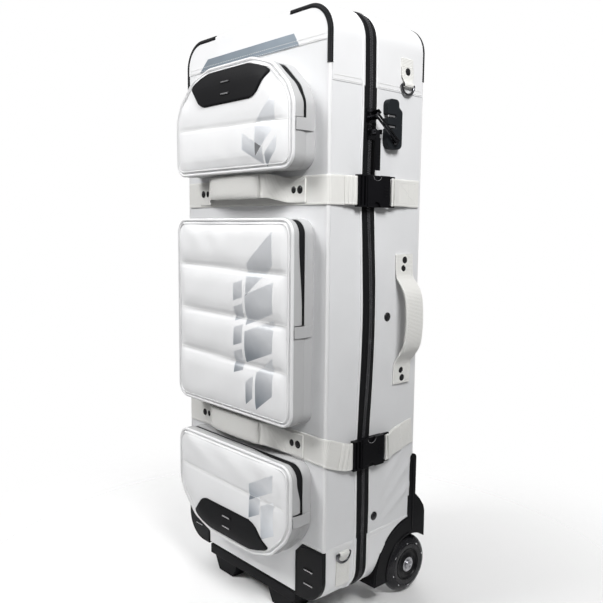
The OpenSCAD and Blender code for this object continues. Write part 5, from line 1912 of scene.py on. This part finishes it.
def build_stage():
    """Pale floor and surround, soft light from above the front left, and the camera."""
    stage = look("stage")
    scene = bpy.context.scene
    data = bpy.data.cameras.new("Camera")
    data.lens, data.sensor_width = stage.lens, 36.0
    data.shift_x, data.shift_y = CAMERA_SHIFT
    data.clip_end = 30.0
    camera = bpy.data.objects.new("Camera", data)
    scene.collection.objects.link(camera)
    yaw, pitch, roll = (math.radians(a) for a in (CAMERA_YAW, CAMERA_PITCH, CAMERA_ROLL))
    ahead = Vector((-math.sin(yaw) * math.cos(pitch), math.cos(yaw) * math.cos(pitch),
                    -math.sin(pitch)))
    right = Vector((math.cos(yaw), math.sin(yaw), 0))
    up = right.cross(ahead)
    right, up = (right * math.cos(roll) + up * math.sin(roll),
                 up * math.cos(roll) - right * math.sin(roll))
    turn = Matrix((right, up, -ahead)).transposed().to_4x4()
    camera.matrix_world = Matrix.Translation(CAMERA_AT * MM + ORIGIN) @ turn
    scene.camera = camera
    scene.view_settings.view_transform = "Standard"

    world = bpy.data.worlds.new("Studio")
    world.use_nodes = True
    tree = world.node_tree
    surround = tree.nodes["Background"]
    surround.inputs["Color"].default_value = (1, 1, 1, 1)
    surround.inputs["Strength"].default_value = stage.world_light
    backdrop = tree.nodes.new("ShaderNodeBackground")
    backdrop.inputs["Color"].default_value = (1, 1, 1, 1)
    seen = tree.nodes.new("ShaderNodeLightPath")
    both = tree.nodes.new("ShaderNodeMixShader")
    tree.links.new(seen.outputs["Is Camera Ray"], both.inputs["Fac"])
    tree.links.new(surround.outputs["Background"], both.inputs[1])
    tree.links.new(backdrop.outputs["Background"], both.inputs[2])
    tree.links.new(both.outputs["Shader"], tree.nodes["World Output"].inputs["Surface"])
    scene.world = world

    bearing = np.linspace(0, 2 * np.pi, 96, endpoint=False)
    rim = np.stack([np.cos(bearing), np.sin(bearing), 0 * bearing], -1) * FLOOR_R
    floor_mesh = bpy.data.meshes.new("floor")
    floor_mesh.from_pydata(rim.tolist(), [], [list(range(96))])
    floor = bpy.data.objects.new("floor", floor_mesh)
    scene.collection.objects.link(floor)
    paint = Paint("floor_paint", (0.92, 0.92, 0.92), 0.8, specular_ior_level=0.2)
    x, y, _ = paint.place()
    off = (x ** 2.0 + y ** 2.0) ** 0.5
    paint.set("Alpha", 1.0 - off.above(*FLOOR_FADE))
    floor_mesh.materials.append(paint.material)

    for name, at, goal, size, spread, power in (
            ("key", (-0.7, -1.4, 1.7), (0, 0, 0.52), 0.8, 100, stage.key_power),
            ("side", (1.25, -0.45, 1.6), (0.1, 0, 0.74), 0.6, 70, stage.side_power),
            ("top", (0.0, 0.0, 3.0), (0, 0, 0.4), 4.0, 180, stage.top_power),
            ("back", (-1.3, 1.5, 1.5), (0, 0, 0.4), 1.5, 180, stage.back_power)):
        light = bpy.data.lights.new(name, "AREA")
        light.size, light.energy, light.spread = size, power, math.radians(spread)
        lamp = bpy.data.objects.new(name, light)
        scene.collection.objects.link(lamp)
        lamp.location = at
        aim = Vector(goal) - Vector(at)
        lamp.rotation_mode = "QUATERNION"
        lamp.rotation_quaternion = aim.to_track_quat("-Z", "Y")


# ---------- operators ----------

class SKATEBAG_OT_paints(bpy.types.Operator):
    """Make the bag's materials"""
    bl_idname = "skatebag.paints"
    bl_label = "Materials"
    bl_options = {"REGISTER", "UNDO"}

    def execute(self, context):
        make_paints()
        return {"FINISHED"}


class SKATEBAG_OT_stage(bpy.types.Operator):
    """Set the camera, the floor and the light"""
    bl_idname = "skatebag.stage"
    bl_label = "Stage"
    bl_options = {"REGISTER", "UNDO"}

    def execute(self, context):
        build_stage()
        return {"FINISHED"}


class SKATEBAG_OT_shell(bpy.types.Operator):
    """Make both halves of the shell, with overlays, seams and the reflective band"""
    bl_idname = "skatebag.shell"
    bl_label = "Shell"
    bl_options = {"REGISTER", "UNDO"}

    def execute(self, context):
        build_lid_shell()
        build_base_shell()
        build_seams()
        return {"FINISHED"}


class SKATEBAG_OT_edges(bpy.types.Operator):
    """Make the edge piping, the corner binding, the zipper and the cloth hinge"""
    bl_idname = "skatebag.edges"
    bl_label = "Edges and zipper"
    bl_options = {"REGISTER", "UNDO"}

    def execute(self, context):
        build_piping()
        build_zipper()
        return {"FINISHED"}


class SKATEBAG_OT_pockets(bpy.types.Operator):
    """Make the three padded pockets with their zippers, piping and panels"""
    bl_idname = "skatebag.pockets"
    bl_label = "Pockets"
    bl_options = {"REGISTER", "UNDO"}

    def execute(self, context):
        faces = {}
        for kind, flap, hinge_z, bars in POCKETS:
            build_pocket_sides(kind, flap, hinge_z)
            faces[kind] = build_pocket_face(kind, hinge_z, bars)
        build_panel("panel_upper", "pocket_panel_upper", "upper_flap", faces["upper"],
                    room("pocket_panel_upper")[1][2] + 6, 1)
        build_panel("panel_lower", "pocket_panel_lower", "lid", faces["lower"],
                    room("pocket_panel_lower")[0][2] - 6, -1)
        return {"FINISHED"}


class SKATEBAG_OT_straps(bpy.types.Operator):
    """Make the straps, the padded grips and the side handle"""
    bl_idname = "skatebag.straps"
    bl_label = "Straps and handles"
    bl_options = {"REGISTER", "UNDO"}

    def execute(self, context):
        build_straps()
        build_grips()
        build_side_handle()
        return {"FINISHED"}


class SKATEBAG_OT_fittings(bpy.types.Operator):
    """Make the rivets, rings, buckles, sliders and the lock"""
    bl_idname = "skatebag.fittings"
    bl_label = "Fittings"
    bl_options = {"REGISTER", "UNDO"}

    def execute(self, context):
        build_rivets()
        build_rings()
        build_buckles()
        build_sliders()
        build_lock()
        return {"FINISHED"}


class SKATEBAG_OT_running_gear(bpy.types.Operator):
    """Make the guards, the rail, the wheel housings, the wheels and the pull handle"""
    bl_idname = "skatebag.running_gear"
    bl_label = "Wheels, guards and pull handle"
    bl_options = {"REGISTER", "UNDO"}

    def execute(self, context):
        build_guards()
        build_housings()
        build_wheels()
        build_pull_handle()
        return {"FINISHED"}


class SKATEBAG_PT_panel(bpy.types.Panel):
    """The bag's steps and sizes in the sidebar"""
    bl_idname = "SKATEBAG_PT_panel"
    bl_label = "Skate bag"
    bl_space_type = "VIEW_3D"
    bl_region_type = "UI"
    bl_category = "Skate bag"

    def draw(self, context):
        for step in STEPS:
            self.layout.operator(step.bl_idname)
        for group in GROUPS:
            box = self.layout.box()
            for key in GROUPS[group].__annotations__:
                box.prop(look(group), key)


STEPS = (SKATEBAG_OT_paints, SKATEBAG_OT_stage, SKATEBAG_OT_shell, SKATEBAG_OT_edges,
         SKATEBAG_OT_pockets, SKATEBAG_OT_straps, SKATEBAG_OT_fittings, SKATEBAG_OT_running_gear)
GROUPS = {"shell": ShellLook, "pocket": PocketLook, "trim": TrimLook, "stage": StageLook}
UPPER_HINGE = room("pocket_flap_upper")[0][2]
MIDDLE_HINGE = room("pocket_flap_middle")[0][2]
LOWER_HINGE = room("pocket_flap_lower")[0][2]
POCKETS = (
    ("upper", "upper_flap", UPPER_HINGE,
     ((84, 690, 20, 22, 0.9, 0.3), (58, 660, 22, 11, -0.5, 0.5), (96, 654, 12, 9, 0.9, 0.6))),
    ("middle", "middle_flap", MIDDLE_HINGE,
     ((72, 506, 28, 22, 0.8, 0.25), (72, 452, 30, 21, 0.35, 0.5), (72, 400, 30, 22, 0.35, 0.8),
      (84, 343, 18, 26, 0.7, 1.0), (52, 330, 8, 16, 0.7, 1.0), (26, 468, 10, 12, 0.3, 0.45),
      (26, 437, 10, 10, 0.3, 0.6), (26, 405, 10, 13, 0.3, 0.75), (26, 368, 10, 15, 0.3, 0.9))),
    ("lower", "lower_flap", LOWER_HINGE,
     ((78, 196, 26, 12, 0.5, 0.7), (64, 164, 12, 13, 0.5, 0.9), (92, 152, 13, 24, 0.5, 0.6))),
)


def register():
    """Registers the add-on's classes and puts its properties on the scene."""
    for group, kind in GROUPS.items():
        bpy.utils.register_class(kind)
        setattr(bpy.types.Scene, "skate_bag_" + group, bpy.props.PointerProperty(type=kind))
    for kind in STEPS + (SKATEBAG_PT_panel,):
        bpy.utils.register_class(kind)


def unregister():
    """Takes everything away again."""
    for kind in (SKATEBAG_PT_panel,) + STEPS[::-1]:
        bpy.utils.unregister_class(kind)
    for group, kind in GROUPS.items():
        delattr(bpy.types.Scene, "skate_bag_" + group)
        bpy.utils.unregister_class(kind)


def main():
    """Builds the bag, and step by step."""
    register()
    for step in STEPS:
        group, name = step.bl_idname.split(".")
        getattr(getattr(bpy.ops, group), name)()


if __name__ == "__main__":
    main()
